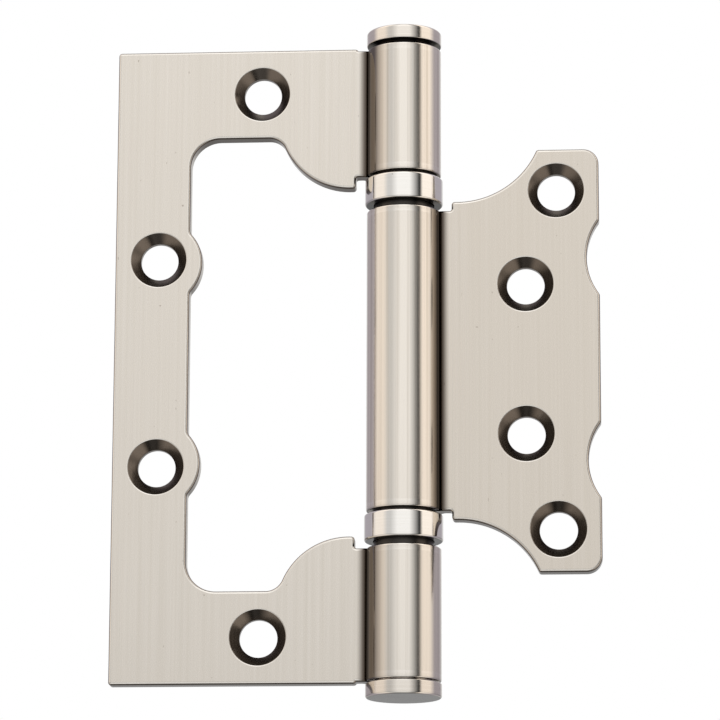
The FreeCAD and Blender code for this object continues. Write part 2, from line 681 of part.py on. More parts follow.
def make_top_race(name, rise):
    """The upper race: pressed into the shell, with a hub that carries the knuckle above."""
    body = new_body(name, rise)
    flange = f"({SHELL_TOP} - sizes.shell_lip)"
    spin_outline(body, [
        (RACE_BORE, TOP_RACE_FOOT),
        (SHELL_BORE, TOP_RACE_FOOT),
        (SHELL_BORE, flange),
        (LIP_BORE, flange),
        (LIP_BORE, "sizes.bearing_height"),
        (RACE_BORE, "sizes.bearing_height"),
    ])
    cut_raceway(body)
    return body


def make_cage(name, rise):
    """The flat ring between the races, with a round pocket for each ball."""
    body = new_body(name, rise)
    low = f"({RACE_HEIGHT} + sizes.cage_clearance)"
    high = f"({TOP_RACE_FOOT} - sizes.cage_clearance)"
    spin_outline(body, [(CAGE_BORE, low), (CAGE_EDGE, low), (CAGE_EDGE, high), (CAGE_BORE, high)])
    pocket_sketch = new_sketch(body, "pocket_plan", "XY_Plane")
    draw_circle(pocket_sketch, "pocket", BALL_PITCH, "0", BALL_SEAT)
    before = body.Shape.Volume
    pocket = body.newObject("PartDesign::Pocket", f"{name}_pocket")
    pocket.Profile = pocket_sketch
    pocket.Type = "ThroughAll"
    pocket.SideType = "Symmetric"
    check_cut(body, before, "ball pocket")
    pattern = body.newObject("PartDesign::PolarPattern", f"{name}_pockets")
    pattern.Originals = [pocket]
    pattern.Axis = (pocket_sketch, ["N_Axis"])
    pattern.Angle = 360
    pattern.Occurrences = BALLS
    body.Tip = pattern
    doc.recompute()
    return body


def make_ball(name, rise, turn):
    """One steel ball at a turn in degrees round the pin."""
    ball = doc.addObject("Part::Sphere", name)
    ball.Label = name
    ball.setExpression("Radius", BALL_RADIUS)
    ball.setExpression(".Placement.Base.x", f"{WEB_HOLE_REACH} + {BALL_PITCH} * cos({turn} deg)")
    ball.setExpression(".Placement.Base.y", f"-{HALF_GAUGE} + {BALL_PITCH} * sin({turn} deg)")
    ball.setExpression(".Placement.Base.z", f"{rise} + {BALL_RISE}")
    return ball


def make_bearing(prefix, rise):
    """A whole thrust bearing, from its bottom face up."""
    pieces = [
        make_shell(f"{prefix}_bearing_shell", rise),
        make_bottom_race(f"{prefix}_bottom_race", rise),
        make_top_race(f"{prefix}_top_race", rise),
        make_cage(f"{prefix}_ball_cage", rise),
    ]
    for number in range(BALLS):
        pieces.append(make_ball(f"{prefix}_ball_{number + 1}", rise, 360 / BALLS * number))
    return pieces


def check_document(pieces):
    """Stop if any feature failed, or any piece is not one sound solid."""
    for item in doc.Objects:
        if {"Invalid", "Error"} & set(item.State):
            raise RuntimeError(f"{item.Label} failed: {item.State}")
    for piece in pieces:
        shape = piece.Shape
        if shape.isNull() or not shape.isValid() or len(shape.Solids) != 1:
            raise RuntimeError(f"{piece.Label} is not one sound solid")


parts = [make_frame_leaf(), make_door_leaf(), make_hinge_pin(), make_bottom_cap()]
parts += make_bearing("upper", DOOR_KNUCKLE_HALF)
parts += make_bearing("lower", f"-{FRAME_KNUCKLE_FOOT}")
doc.recompute()
check_document(parts)

os.makedirs("parts", exist_ok=True)
for part in parts:
    part.Shape.exportStep(f"parts/{part.Label}.step")
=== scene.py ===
"""Looks of the flush ball-bearing hinge: pressed and turned surfaces, nickel finishes and the studio.

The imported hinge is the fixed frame. Its axes are +X from the frame leaf towards the door leaf,
+Y into the wood behind the leaves and +Z up along the pin. Blender works in metres; the sizes of
the pieces are written in millimetres, as measures from the pin's axis and the hinge's middle.
"""
import logging
import math
from dataclasses import dataclass, field
from enum import Enum

import bpy
import numpy as np
from mathutils import Matrix, Vector
from mathutils.geometry import tessellate_polygon


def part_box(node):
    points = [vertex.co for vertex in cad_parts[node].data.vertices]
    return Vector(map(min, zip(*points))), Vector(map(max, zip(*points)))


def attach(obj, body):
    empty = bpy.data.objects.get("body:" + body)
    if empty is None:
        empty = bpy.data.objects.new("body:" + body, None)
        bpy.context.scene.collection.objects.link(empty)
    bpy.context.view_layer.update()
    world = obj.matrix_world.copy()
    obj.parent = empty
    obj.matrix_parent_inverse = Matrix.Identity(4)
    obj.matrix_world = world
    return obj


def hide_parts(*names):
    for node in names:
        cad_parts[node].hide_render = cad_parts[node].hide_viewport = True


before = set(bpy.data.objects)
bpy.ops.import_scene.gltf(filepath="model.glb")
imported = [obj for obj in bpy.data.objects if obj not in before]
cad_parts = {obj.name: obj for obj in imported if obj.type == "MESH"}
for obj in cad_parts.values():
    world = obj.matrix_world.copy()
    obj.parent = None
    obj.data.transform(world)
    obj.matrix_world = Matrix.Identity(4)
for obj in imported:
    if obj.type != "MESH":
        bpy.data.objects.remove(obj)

bpy.context.view_layer.update()

LOG = logging.getLogger("hinge")
MM = 0.001
PHOTO_WIDTH = 720
SENSOR_WIDTH = 36.0
# Places less than this many millimetres apart are one
SAME_PLACE = 1e-6

Colour = tuple[float, float, float]
Point = tuple[float, float]


def rgba(colour: Colour) -> tuple[float, float, float, float]:
    """A colour with full opacity."""
    return (*colour, 1.0)


def smooth_step(values: np.ndarray) -> np.ndarray:
    """0 below 0, 1 above 1, and three times the square less twice the cube between."""
    held = np.clip(values, 0.0, 1.0)
    return held * held * (3.0 - 2.0 * held)


class NodeGraph:
    """A material's or the world's nodes, added and linked in short calls."""

    def __init__(self, tree: bpy.types.NodeTree) -> None:
        """Start from an empty tree."""
        self.tree = tree
        tree.nodes.clear()

    def add(self, kind: str, **values: object) -> bpy.types.Node:
        """Add a node and set its properties and unlinked sockets.

        Args:
            kind: The node's type name.
            values: Properties by name; a name that isn't a property is an input socket's name,
                with spaces as underscores.

        Returns:
            The new node.
        """
        node = self.tree.nodes.new(kind)
        for name, value in values.items():
            if hasattr(node, name):
                setattr(node, name, value)
            else:
                node.inputs[name.replace("_", " ")].default_value = value
        return node

    def link(self, source: bpy.types.NodeSocket, target: bpy.types.NodeSocket) -> None:
        """Join an output to an input."""
        self.tree.links.new(source, target)

    def object_noise(self, scale: tuple[float, float, float], detail: float) -> bpy.types.NodeSocket:
        """Noise on the piece's own coordinates, with one scale per axis in waves a metre.

        Args:
            scale: Waves a metre along X, Y and Z.
            detail: Octaves of the noise.

        Returns:
            The noise's grey value, about 0.5 on average.
        """
        place = self.add("ShaderNodeTexCoord")
        stretch = self.add("ShaderNodeMapping")
        stretch.inputs["Scale"].default_value = scale
        noise = self.add("ShaderNodeTexNoise", Scale=1.0, Detail=detail, Roughness=0.55)
        self.link(place.outputs["Object"], stretch.inputs["Vector"])
        self.link(stretch.outputs["Vector"], noise.inputs["Vector"])
        return noise.outputs["Fac"]

    def attribute(self, name: str) -> bpy.types.NodeSocket:
        """A number kept on the piece's vertices."""
        return self.add("ShaderNodeAttribute", attribute_name=name).outputs["Fac"]

    def maths(
        self, operation: str, first: bpy.types.NodeSocket, second: object = 0.0
    ) -> bpy.types.NodeSocket:
        """One sum on a value and a second value or number.

        Args:
            operation: The Math node's operation.
            first: The first value.
            second: The second value, linked, or a number.

        Returns:
            The result.
        """
        node = self.add("ShaderNodeMath", operation=operation)
        self.link(first, node.inputs[0])
        if isinstance(second, (int, float)):
            node.inputs[1].default_value = second
        else:
            self.link(second, node.inputs[1])
        return node.outputs[0]

    def spread(
        self, source: bpy.types.NodeSocket, low: float, high: float, start: float = 0.3, stop: float = 0.7
    ) -> bpy.types.NodeSocket:
        """Map a value from start..stop to low..high, held within both ends.

        Args:
            source: The value.
            low: What start gives.
            high: What stop gives.
            start: Where the range starts.
            stop: Where it stops.

        Returns:
            The mapped value.
        """
        ramp = self.add("ShaderNodeMapRange")
        for name, value in zip(("From Min", "From Max", "To Min", "To Max"), (start, stop, low, high)):
            ramp.inputs[name].default_value = value
        self.link(source, ramp.inputs["Value"])
        return ramp.outputs["Result"]

    def blend(
        self, share: bpy.types.NodeSocket, first: Colour | bpy.types.NodeSocket, second: Colour
    ) -> bpy.types.NodeSocket:
        """Mix two colours by a grey value.

        Args:
            share: How much of the second colour there is, from 0 to 1.
            first: The first colour, linked or plain.
            second: The second colour.

        Returns:
            The mixed colour.
        """
        mix = self.add("ShaderNodeMix", data_type="RGBA")
        self.link(share, mix.inputs[0])
        if isinstance(first, tuple):
            mix.inputs[6].default_value = rgba(first)
        else:
            self.link(first, mix.inputs[6])
        mix.inputs[7].default_value = rgba(second)
        return mix.outputs[2]


class Lines(Enum):
    """Which way a finish's fine lines run, as waves a metre along X, Y and Z."""

    ALONG_PIN = (2000.0, 2000.0, 13.0)
    ROUND_PIN = (60.0, 60.0, 9000.0)
    NONE = (1500.0, 1500.0, 1500.0)


@dataclass(frozen=True)
class MetalFinish:
    """A plated or bare metal surface with fine lines, cloudy tone and a few small specks.

    The colour goes from dark to light with the lines and a little with the clouds; the roughness
    follows the lines, and the same lines lift the surface as bump. Where a piece's "recess" is 1
    the colour goes to the dark recess colour: dark plating and painted shade in hollows, creases
    and gaps and on walls that face down, with a painted dark line on the leaves' shoulders. Where
    its "worn" is 1, the colour goes to the edge colour in patches: handling wear and a painted
    highlight. Where its "rolled" is 1, the roller has pressed the sheet smoother and brighter and
    left long faint streaks.
    """

    name: str
    light: Colour
    dark: Colour
    lines: Lines
    roughness: float
    roughness_swing: float
    line_depth: float
    cloud: Colour
    speck: Colour
    rolled_tone: Colour = (0.83, 0.775, 0.70)
    streak: Colour = (0.50, 0.44, 0.37)
    # Tone of handling wear and a painted highlight
    edge: Colour = (0.92, 0.88, 0.82)
    # Tone of dark plating and painted shade
    shade_and_plating: Colour = (0.095, 0.074, 0.058)
    shade_and_plating_roughness: float = 0.15
    rolled_roughness: float = 0.19
    rolled_share: float = 0.85
    worn_polish: float = 0.4
    bump_strength: float = 0.6

    def material(self) -> bpy.types.Material:
        """Build the finish, or find it if it is built.

        Returns:
            The material, with every pattern on the piece's own coordinates.
        """
        known = bpy.data.materials.get(self.name)
        if known is not None:
            return known
        made = bpy.data.materials.new(self.name)
        made.use_nodes = True
        graph = NodeGraph(made.node_tree)
        shader = graph.add("ShaderNodeBsdfPrincipled", Metallic=1.0)
        output = graph.add("ShaderNodeOutputMaterial")
        across, deep, along = self.lines.value
        coarse = graph.object_noise((across, deep, along), 3.0)
        fine = graph.object_noise((across * 4.0, deep * 4.0, along * 3.0), 2.0)
        clouds = graph.object_noise((60.0, 60.0, 30.0), 3.0)
        dots = graph.object_noise((1500.0, 1500.0, 1500.0), 0.0)
        tone = graph.blend(graph.spread(coarse, 0.0, 1.0), self.dark, self.light)
        tone = graph.blend(graph.spread(clouds, 0.0, 0.5), tone, self.cloud)
        tone = graph.blend(graph.spread(dots, 0.0, 0.7, 0.84, 0.88), tone, self.speck)
        rolled = graph.attribute("rolled")
        tone = graph.blend(graph.maths("MULTIPLY", rolled, self.rolled_share), tone, self.rolled_tone)
        streaks = graph.object_noise((1400.0, 1400.0, 6.0), 3.0)
        streaked = graph.maths("MULTIPLY", rolled, graph.spread(streaks, 0.0, 0.5, 0.5, 0.72))
        tone = graph.blend(streaked, tone, self.streak)
        # Wear and a painted highlight lift the tone towards the edge colour
        wear_and_highlight = graph.maths("MULTIPLY", graph.attribute("wear_and_highlight"), graph.spread(clouds, 0.35, 1.0))
        tone = graph.blend(wear_and_highlight, tone, self.edge)
        # Dark plating and painted shade take the tone towards the recess colour
        shade_and_plating = graph.attribute("shade_and_plating")
        tone = graph.blend(shade_and_plating, tone, self.shade_and_plating)
        low, high = self.roughness - self.roughness_swing, self.roughness + self.roughness_swing
        rough = graph.spread(fine, low, high)
        smoother = graph.maths("MULTIPLY", rolled, self.rolled_roughness - self.roughness)
        polish = graph.maths("MULTIPLY", wear_and_highlight, -self.worn_polish * self.roughness)
        deeper = graph.maths("MULTIPLY", shade_and_plating, self.shade_and_plating_roughness - self.roughness)
        rough = graph.maths("ADD", graph.maths("ADD", rough, smoother), graph.maths("ADD", polish, deeper))
        bump = graph.add("ShaderNodeBump", Strength=self.bump_strength, Distance=self.line_depth)
        graph.link(fine, bump.inputs["Height"])
        graph.link(tone, shader.inputs["Base Color"])
        graph.link(rough, shader.inputs["Roughness"])
        graph.link(bump.outputs["Normal"], shader.inputs["Normal"])
        graph.link(shader.outputs["BSDF"], output.inputs["Surface"])
        return made


FRAME_NICKEL = MetalFinish(
    "brushed_nickel_frame", (0.725, 0.675, 0.61), (0.675, 0.625, 0.555), Lines.ALONG_PIN,
    0.27, 0.04, 3e-6, (0.69, 0.635, 0.565), (0.38, 0.33, 0.28),
)
DOOR_NICKEL = MetalFinish(
    "brushed_nickel_door", (0.68, 0.625, 0.555), (0.635, 0.58, 0.505), Lines.ALONG_PIN,
    0.27, 0.04, 3e-6, (0.645, 0.585, 0.51), (0.38, 0.33, 0.28),
)
# The turned and bright finishes go to near-black painted shade in their gaps, hollows and undersides
TURNED_NICKEL = MetalFinish(
    "turned_nickel", (0.84, 0.79, 0.72), (0.76, 0.70, 0.63), Lines.ROUND_PIN,
    0.12, 0.04, 1.0e-6, (0.80, 0.73, 0.65), (0.45, 0.38, 0.32),
    shade_and_plating=(0.03, 0.026, 0.023),
)
BRIGHT_NICKEL = MetalFinish(
    "bright_nickel", (0.91, 0.885, 0.85), (0.86, 0.83, 0.78), Lines.ROUND_PIN,
    0.07, 0.03, 0.8e-6, (0.88, 0.85, 0.80), (0.5, 0.44, 0.38),
    shade_and_plating=(0.02, 0.018, 0.016),
)
GROUND_STEEL = MetalFinish(
    "ground_steel", (0.07, 0.063, 0.057), (0.045, 0.04, 0.036), Lines.ROUND_PIN,
    0.30, 0.06, 2e-6, (0.055, 0.05, 0.045), (0.03, 0.026, 0.024),
)
CAGE_BRASS = MetalFinish(
    "stamped_brass", (0.74, 0.60, 0.33), (0.64, 0.50, 0.26), Lines.NONE,
    0.30, 0.06, 2e-6, (0.66, 0.50, 0.25), (0.35, 0.24, 0.12),
)
BALL_STEEL = MetalFinish(
    "lapped_steel", (0.80, 0.80, 0.80), (0.74, 0.74, 0.74), Lines.NONE,
    0.07, 0.02, 5e-7, (0.76, 0.76, 0.77), (0.5, 0.5, 0.5),
)


@dataclass
class Skin:
    """Points, outward normals, shares of dark plating with painted shade, of wear with painted highlight
    and of rolling, and faces of a closed surface.
    """

    points: list[np.ndarray] = field(default_factory=list)
    normals: list[np.ndarray] = field(default_factory=list)
    shade_and_plating: list[np.ndarray] = field(default_factory=list)
    wear_and_highlight: list[np.ndarray] = field(default_factory=list)
    rolled: list[np.ndarray] = field(default_factory=list)
    faces: list[np.ndarray] = field(default_factory=list)
    count: int = 0

    def add_points(
        self, points: np.ndarray, normals: np.ndarray, shade_and_plating: np.ndarray, wear_and_highlight: np.ndarray,
        rolled: np.ndarray | float = 0.0,
    ) -> np.ndarray:
        """Add a grid of points.

        Args:
            points: Places in millimetres, with the three coordinates on the last axis.
            normals: Outward normals of the same shape.
            shade_and_plating: How much dark plating and painted shade darken each place, from 0 to 1.
            wear_and_highlight: How far handling wear and a painted highlight brighten each place, from 0
                to 1.
            rolled: How far the roller has pressed each place, from 0 to 1.

        Returns:
            The new points' numbers, shaped as the grid.
        """
        grid = points.shape[:-1]
        size = int(np.prod(grid))
        numbers = np.arange(self.count, self.count + size).reshape(grid)
        self.points.append(points.reshape(-1, 3))
        self.normals.append(normals.reshape(-1, 3))
        self.shade_and_plating.append(np.broadcast_to(shade_and_plating, grid).reshape(-1))
        self.wear_and_highlight.append(np.broadcast_to(wear_and_highlight, grid).reshape(-1))
        self.rolled.append(np.broadcast_to(rolled, grid).reshape(-1))
        self.count += size
        return numbers

    def add_quads(self, numbers: np.ndarray, wrap_rows: bool, wrap_columns: bool) -> None:
        """Join a grid of point numbers into quads.

        Args:
            numbers: The grid.
            wrap_rows: Whether the last row joins the first.
            wrap_columns: Whether the last column joins the first.
        """
        if wrap_rows:
            numbers = np.concatenate([numbers, numbers[:1]], axis=0)
        if wrap_columns:
            numbers = np.concatenate([numbers, numbers[:, :1]], axis=1)
        corners = (numbers[:-1, :-1], numbers[1:, :-1], numbers[1:, 1:], numbers[:-1, 1:])
        self.faces.append(np.stack(corners, axis=-1).reshape(-1, 4))

    def add_ladder(self, one: np.ndarray, other: np.ndarray) -> None:
        """Join two rows of point numbers into one row of quads."""
        self.add_quads(np.stack([one, other]), wrap_rows=False, wrap_columns=False)

    def add_fan(self, ring: np.ndarray, pole: np.ndarray) -> None:
        """Close a ring of point numbers with triangles to one point."""
        tips = np.broadcast_to(pole, ring.shape)
        self.faces.append(np.stack([ring, np.roll(ring, -1), tips], axis=1))

    def places(self, numbers: np.ndarray) -> np.ndarray:
        """The points with the given numbers."""
        return np.concatenate(self.points)[numbers]

    def mesh(self, name: str, offset: Vector) -> bpy.types.Object:
        """Turn the surface into a piece of the scene.

        A face whose own direction is against the sum of its corners' normals is turned over.

        Args:
            name: The piece's name.
            offset: Where the surface's own origin lies, in metres.

        Returns:
            The new object, at the origin with its place in its mesh.
        """
        places = np.concatenate(self.points) * MM + np.array(offset)
        normals = np.concatenate(self.normals)
        normals = normals / np.linalg.norm(normals, axis=1, keepdims=True)
        turned = [self.faced(block, places, normals) for block in self.faces]
        sizes = np.concatenate([np.full(len(block), block.shape[1]) for block in turned])
        corners = np.concatenate([block.reshape(-1) for block in turned])
        starts = np.concatenate([[0], np.cumsum(sizes)[:-1]])
        mesh = bpy.data.meshes.new(name)
        mesh.vertices.add(len(places))
        mesh.vertices.foreach_set("co", places.astype(np.float32).ravel())
        mesh.loops.add(len(corners))
        mesh.loops.foreach_set("vertex_index", corners.astype(np.int32))
        mesh.polygons.add(len(starts))
        mesh.polygons.foreach_set("loop_start", starts.astype(np.int32))
        mesh.polygons.foreach_set("use_smooth", np.ones(len(starts), dtype=bool))
        mesh.update(calc_edges=True)
        for label, shares in (("shade_and_plating", self.shade_and_plating), ("wear_and_highlight", self.wear_and_highlight), ("rolled", self.rolled)):
            attribute = mesh.attributes.new(label, "FLOAT", "POINT")
            attribute.data.foreach_set("value", np.concatenate(shares).astype(np.float32))
        mesh.normals_split_custom_set_from_vertices(normals.tolist())
        made = bpy.data.objects.new(name, mesh)
        bpy.context.scene.collection.objects.link(made)
        return made

    @staticmethod
    def faced(block: np.ndarray, places: np.ndarray, normals: np.ndarray) -> np.ndarray:
        """Faces with those turned over that point into the metal."""
        first, second, third, last = (places[block[:, k]] for k in (0, 1, 2, -1))
        if block.shape[1] == 4:
            own = np.cross(third - first, last - second)
        else:
            own = np.cross(second - first, third - first)
        inward = np.einsum("ij,ij->i", own, normals[block].sum(axis=1)) < 0
        return np.where(inward[:, None], block[:, ::-1], block)


@dataclass(frozen=True)
class Arc:
    """A round stretch of an outline, gone along with the metal on the left.

    A point is the centre plus the radius times the cosine and sine of an angle, in degrees. The
    angle rises round metal and falls round a hollow.
    """

    across: float
    up: float
    radius: float
    start: float
    stop: float

    def samples(self) -> tuple[np.ndarray, np.ndarray]:
        """Points along the arc and their outward normals, closer together on a larger radius."""
        count = max(5, int(abs(self.stop - self.start) * (0.1 + 0.03 * self.radius)) + 1)
        angles = np.radians(np.linspace(self.start, self.stop, count))
        ray = np.stack([np.cos(angles), np.sin(angles)], axis=1)
        way = 1.0 if self.stop > self.start else -1.0
        return np.array([self.across, self.up]) + self.radius * ray, way * ray

    def mirrored(self) -> "Arc":
        """The same arc below the middle, with the metal still on the left."""
        return Arc(self.across, -self.up, self.radius, -self.stop, -self.start)


@dataclass(frozen=True)
class Run:
    """A straight level stretch of an outline, with points at given places across."""

    across: np.ndarray
    up: float
    facing: float

    def samples(self) -> tuple[np.ndarray, np.ndarray]:
        """Points along the run and their outward normals, straight up or down."""
        level = np.full_like(self.across, self.up)
        points = np.stack([self.across, level], axis=1)
        normals = np.stack([np.zeros_like(level), np.full_like(level, self.facing)], axis=1)
        return points, normals

    def mirrored(self) -> "Run":
        """The same run below the middle, gone along the other way."""
        return Run(self.across[::-1], -self.up, -self.facing)


Stretch = Arc | Run


def bearing_angle(start: Point, end: Point) -> float:
    """The direction from one point to another, in degrees from 0 to 360."""
    return math.degrees(math.atan2(end[1] - start[1], end[0] - start[0])) % 360.0


def leg(hypotenuse: float, other: float) -> float:
    """The second short side of a right triangle."""
    return math.sqrt(hypotenuse ** 2 - other ** 2)


@dataclass(frozen=True)
class Section:
    """A turned surface's section: (radius, height, rounding) corners with the metal on the left.

    The first and last corner of an open section only give its direction.
    """

    corners: tuple[tuple[float, float, float], ...]
    closed: bool = False
    steps: int = 7

    def rounded(self) -> tuple[np.ndarray, np.ndarray, np.ndarray]:
        """Round every corner.

        At a corner the outward normal turns from one side's to the next side's. A point is the
        rounding's centre plus the rounding times that normal, or less it in a hollow corner.

        Returns:
            Places as radius and height, their outward normals, and their wear and painted highlight.
        """
        table = np.array(self.corners)
        spots, radii = table[:, :2], table[:, 2]
        ahead = np.roll(spots, -1, axis=0) - spots
        ahead = ahead / np.linalg.norm(ahead, axis=1, keepdims=True)
        behind = np.roll(ahead, 1, axis=0)
        cross = behind[:, 0] * ahead[:, 1] - behind[:, 1] * ahead[:, 0]
        turn = np.arctan2(cross, (behind * ahead).sum(axis=1))
        share = np.linspace(0.0, 1.0, self.steps)
        angles = np.arctan2(-behind[:, 0], behind[:, 1])[:, None] + turn[:, None] * share
        normals = np.stack([np.cos(angles), np.sin(angles)], axis=-1)
        signed = (np.sign(turn) * radii)[:, None]
        start = spots - behind * (radii * np.tan(np.abs(turn) / 2))[:, None]
        centre = start - signed * normals[:, 0]
        places = centre[:, None] + signed[:, None] * normals
        # Wear and a painted highlight brighten each convex rounding, most at its middle
        wear_and_highlight = np.where(turn > 0, 1.0, 0.0)[:, None] * np.sin(math.pi * share)
        kept = slice(None) if self.closed else slice(1, -1)
        return places[kept].reshape(-1, 2), normals[kept].reshape(-1, 2), wear_and_highlight[kept].reshape(-1)

    def turned(self, painted_shade_radius: float, underside: float, segments: int = 160) -> Skin:
        """Turn the section about the pin.

        A point at an angle is the section's radius times the angle's cosine and sine, at the
        section's height. An open section is closed by one point on the axis at each end.

        Args:
            painted_shade_radius: Deeper in than this radius the surface gets painted shade.
            underside: How much painted shade darkens the faces that look down, from 0 to 1.
            segments: Steps round the pin.

        Returns:
            The closed surface, about the pin's axis.
        """
        places, facing, wear_and_highlight = self.rounded()
        angle = np.linspace(0.0, 2 * math.pi, segments, endpoint=False)[:, None]
        radius, height = places[:, 0], places[:, 1]
        outward, upward = facing[:, 0], facing[:, 1]
        parts = (radius * np.cos(angle), radius * np.sin(angle), height)
        points = np.stack(np.broadcast_arrays(*parts), axis=-1)
        parts = (outward * np.cos(angle), outward * np.sin(angle), upward)
        normals = np.stack(np.broadcast_arrays(*parts), axis=-1)
        # Painted shade on faces that look down and on places deeper in than the given radius
        down = underside * smooth_step((-upward - 0.75) / 0.25)
        shade_and_plating = np.maximum(smooth_step((painted_shade_radius - radius) / 0.25 + 1.0), down)
        skin = Skin()
        every = np.ones_like(angle)
        numbers = skin.add_points(points, normals, shade_and_plating * every, wear_and_highlight * every)
        skin.add_quads(numbers, wrap_rows=True, wrap_columns=self.closed)
        if not self.closed:
            for column, corner in ((0, self.corners[0]), (-1, self.corners[-1])):
                top = np.array([[0.0, 0.0, corner[1]]])
                way = np.array([[0.0, 0.0, -1.0 if column == 0 else 1.0]])
                pole = skin.add_points(top, way, shade_and_plating[column], np.zeros(1))
                skin.add_fan(numbers[:, column], pole)
        return skin


@dataclass(frozen=True)
class Roll:
    """How a leaf's sheet leaves the plate, bends to the back and goes round the pin.

    Places on the flat blank are across, measured towards the leaf's far edge, up, and depth from
    the sheet's middle towards the back.
    """

    gauge: float = 2.5
    bore_radius: float = 3.25
    joggle_angle: float = 50.0
    joggle_bend: float = 0.8
    root_flat: float = 0.6
    seam_gap: float = 0.05

    @property
    def half(self) -> float:
        """Half the sheet's thickness."""
        return self.gauge / 2

    @property
    def tilt(self) -> float:
        """The joggle's angle in radians."""
        return math.radians(self.joggle_angle)

    @property
    def bend_radius(self) -> float:
        """The joggle's bend at the sheet's middle."""
        return self.joggle_bend + self.half

    @property
    def roll_radius(self) -> float:
        """The roll at the sheet's middle."""
        return self.bore_radius + self.half

    @property
    def barrel_radius(self) -> float:
        """The barrel's outside."""
        return self.bore_radius + self.gauge

    @property
    def bend_start(self) -> float:
        """Where the plate starts to bend."""
        return self.roll_radius / math.sin(self.tilt) + self.bend_radius * math.tan(self.tilt / 2)

    @property
    def root(self) -> float:
        """Where the plate's own edge lies beside the barrel."""
        return self.bend_start + self.root_flat

    @property
    def slant_length(self) -> float:
        """The straight stretch between the bend and the roll."""
        return self.roll_radius / math.tan(self.tilt) - self.bend_radius * math.tan(self.tilt / 2)

    @property
    def turn_start(self) -> float:
        """The angle round the pin at which the roll starts."""
        return math.pi / 2 - self.tilt

    @property
    def blank_end(self) -> float:
        """Where the blank ends, so that the rolled sheet stops short of its own plate."""
        stop = 2 * math.pi - math.asin((self.half + self.seam_gap) / self.barrel_radius)
        rolled = self.roll_radius * (stop - self.turn_start)
        return self.bend_start - self.bend_radius * self.tilt - self.slant_length - rolled

    def middle_line(self, across: np.ndarray) -> tuple[np.ndarray, np.ndarray, np.ndarray]:
        """Where the sheet's middle lies once bent.

        Along the bend the sheet is an arc whose lean grows by the way over the bend's radius.
        Along the slant it is straight at the joggle's angle, and along the roll it is a circle
        about the pin, whose angle grows by the way over the roll's radius.

        Args:
            across: Places across the blank.

        Returns:
            Reach from the pin, place towards the back, and lean of the sheet's own normal.
        """
        way = np.maximum(self.bend_start - across, 0.0)
        bent = self.bend_radius * self.tilt
        lean = np.minimum(way / self.bend_radius, self.tilt)
        slant = np.clip(way - bent, 0.0, self.slant_length)
        turn = self.turn_start + np.maximum(way - bent - self.slant_length, 0.0) / self.roll_radius
        reach = np.maximum(across, self.bend_start) - self.bend_radius * np.sin(lean)
        reach = reach - slant * math.cos(self.tilt)
        back = self.bend_radius * (1.0 - np.cos(lean)) + slant * math.sin(self.tilt)
        rolled = way > bent + self.slant_length
        reach = np.where(rolled, self.roll_radius * np.cos(turn), reach)
        back = np.where(rolled, self.roll_radius * np.sin(turn), back)
        return reach, back, np.where(rolled, math.pi / 2 - turn, lean)

    def bend(self, across: np.ndarray, up: np.ndarray, depth: np.ndarray) -> np.ndarray:
        """Bend places of the blank: the middle line's place plus the depth along its normal."""
        reach, back, lean = self.middle_line(across)
        parts = (reach + depth * np.sin(lean), back + depth * np.cos(lean), up)
        return np.stack(np.broadcast_arrays(*parts), axis=-1)

    def bend_normals(self, across: np.ndarray, local: np.ndarray) -> np.ndarray:
        """Turn normals given as across, up and depth parts with the sheet's lean."""
        lean = self.middle_line(across)[2]
        sideways, upward, depth = (local[..., part] for part in range(3))
        reach = sideways * np.cos(lean) + depth * np.sin(lean)
        back = depth * np.cos(lean) - sideways * np.sin(lean)
        return np.stack([reach, back, upward], axis=-1)

    def rolled_share(self, across: np.ndarray) -> np.ndarray:
        """0 on the flat plate, rising to 1 along the joggle's bend."""
        return smooth_step((self.bend_start + 0.2 - across) / (self.bend_radius * self.tilt))


class Side(Enum):
    """Which way a leaf lies from the pin along X."""

    FRAME = -1.0
    DOOR = 1.0


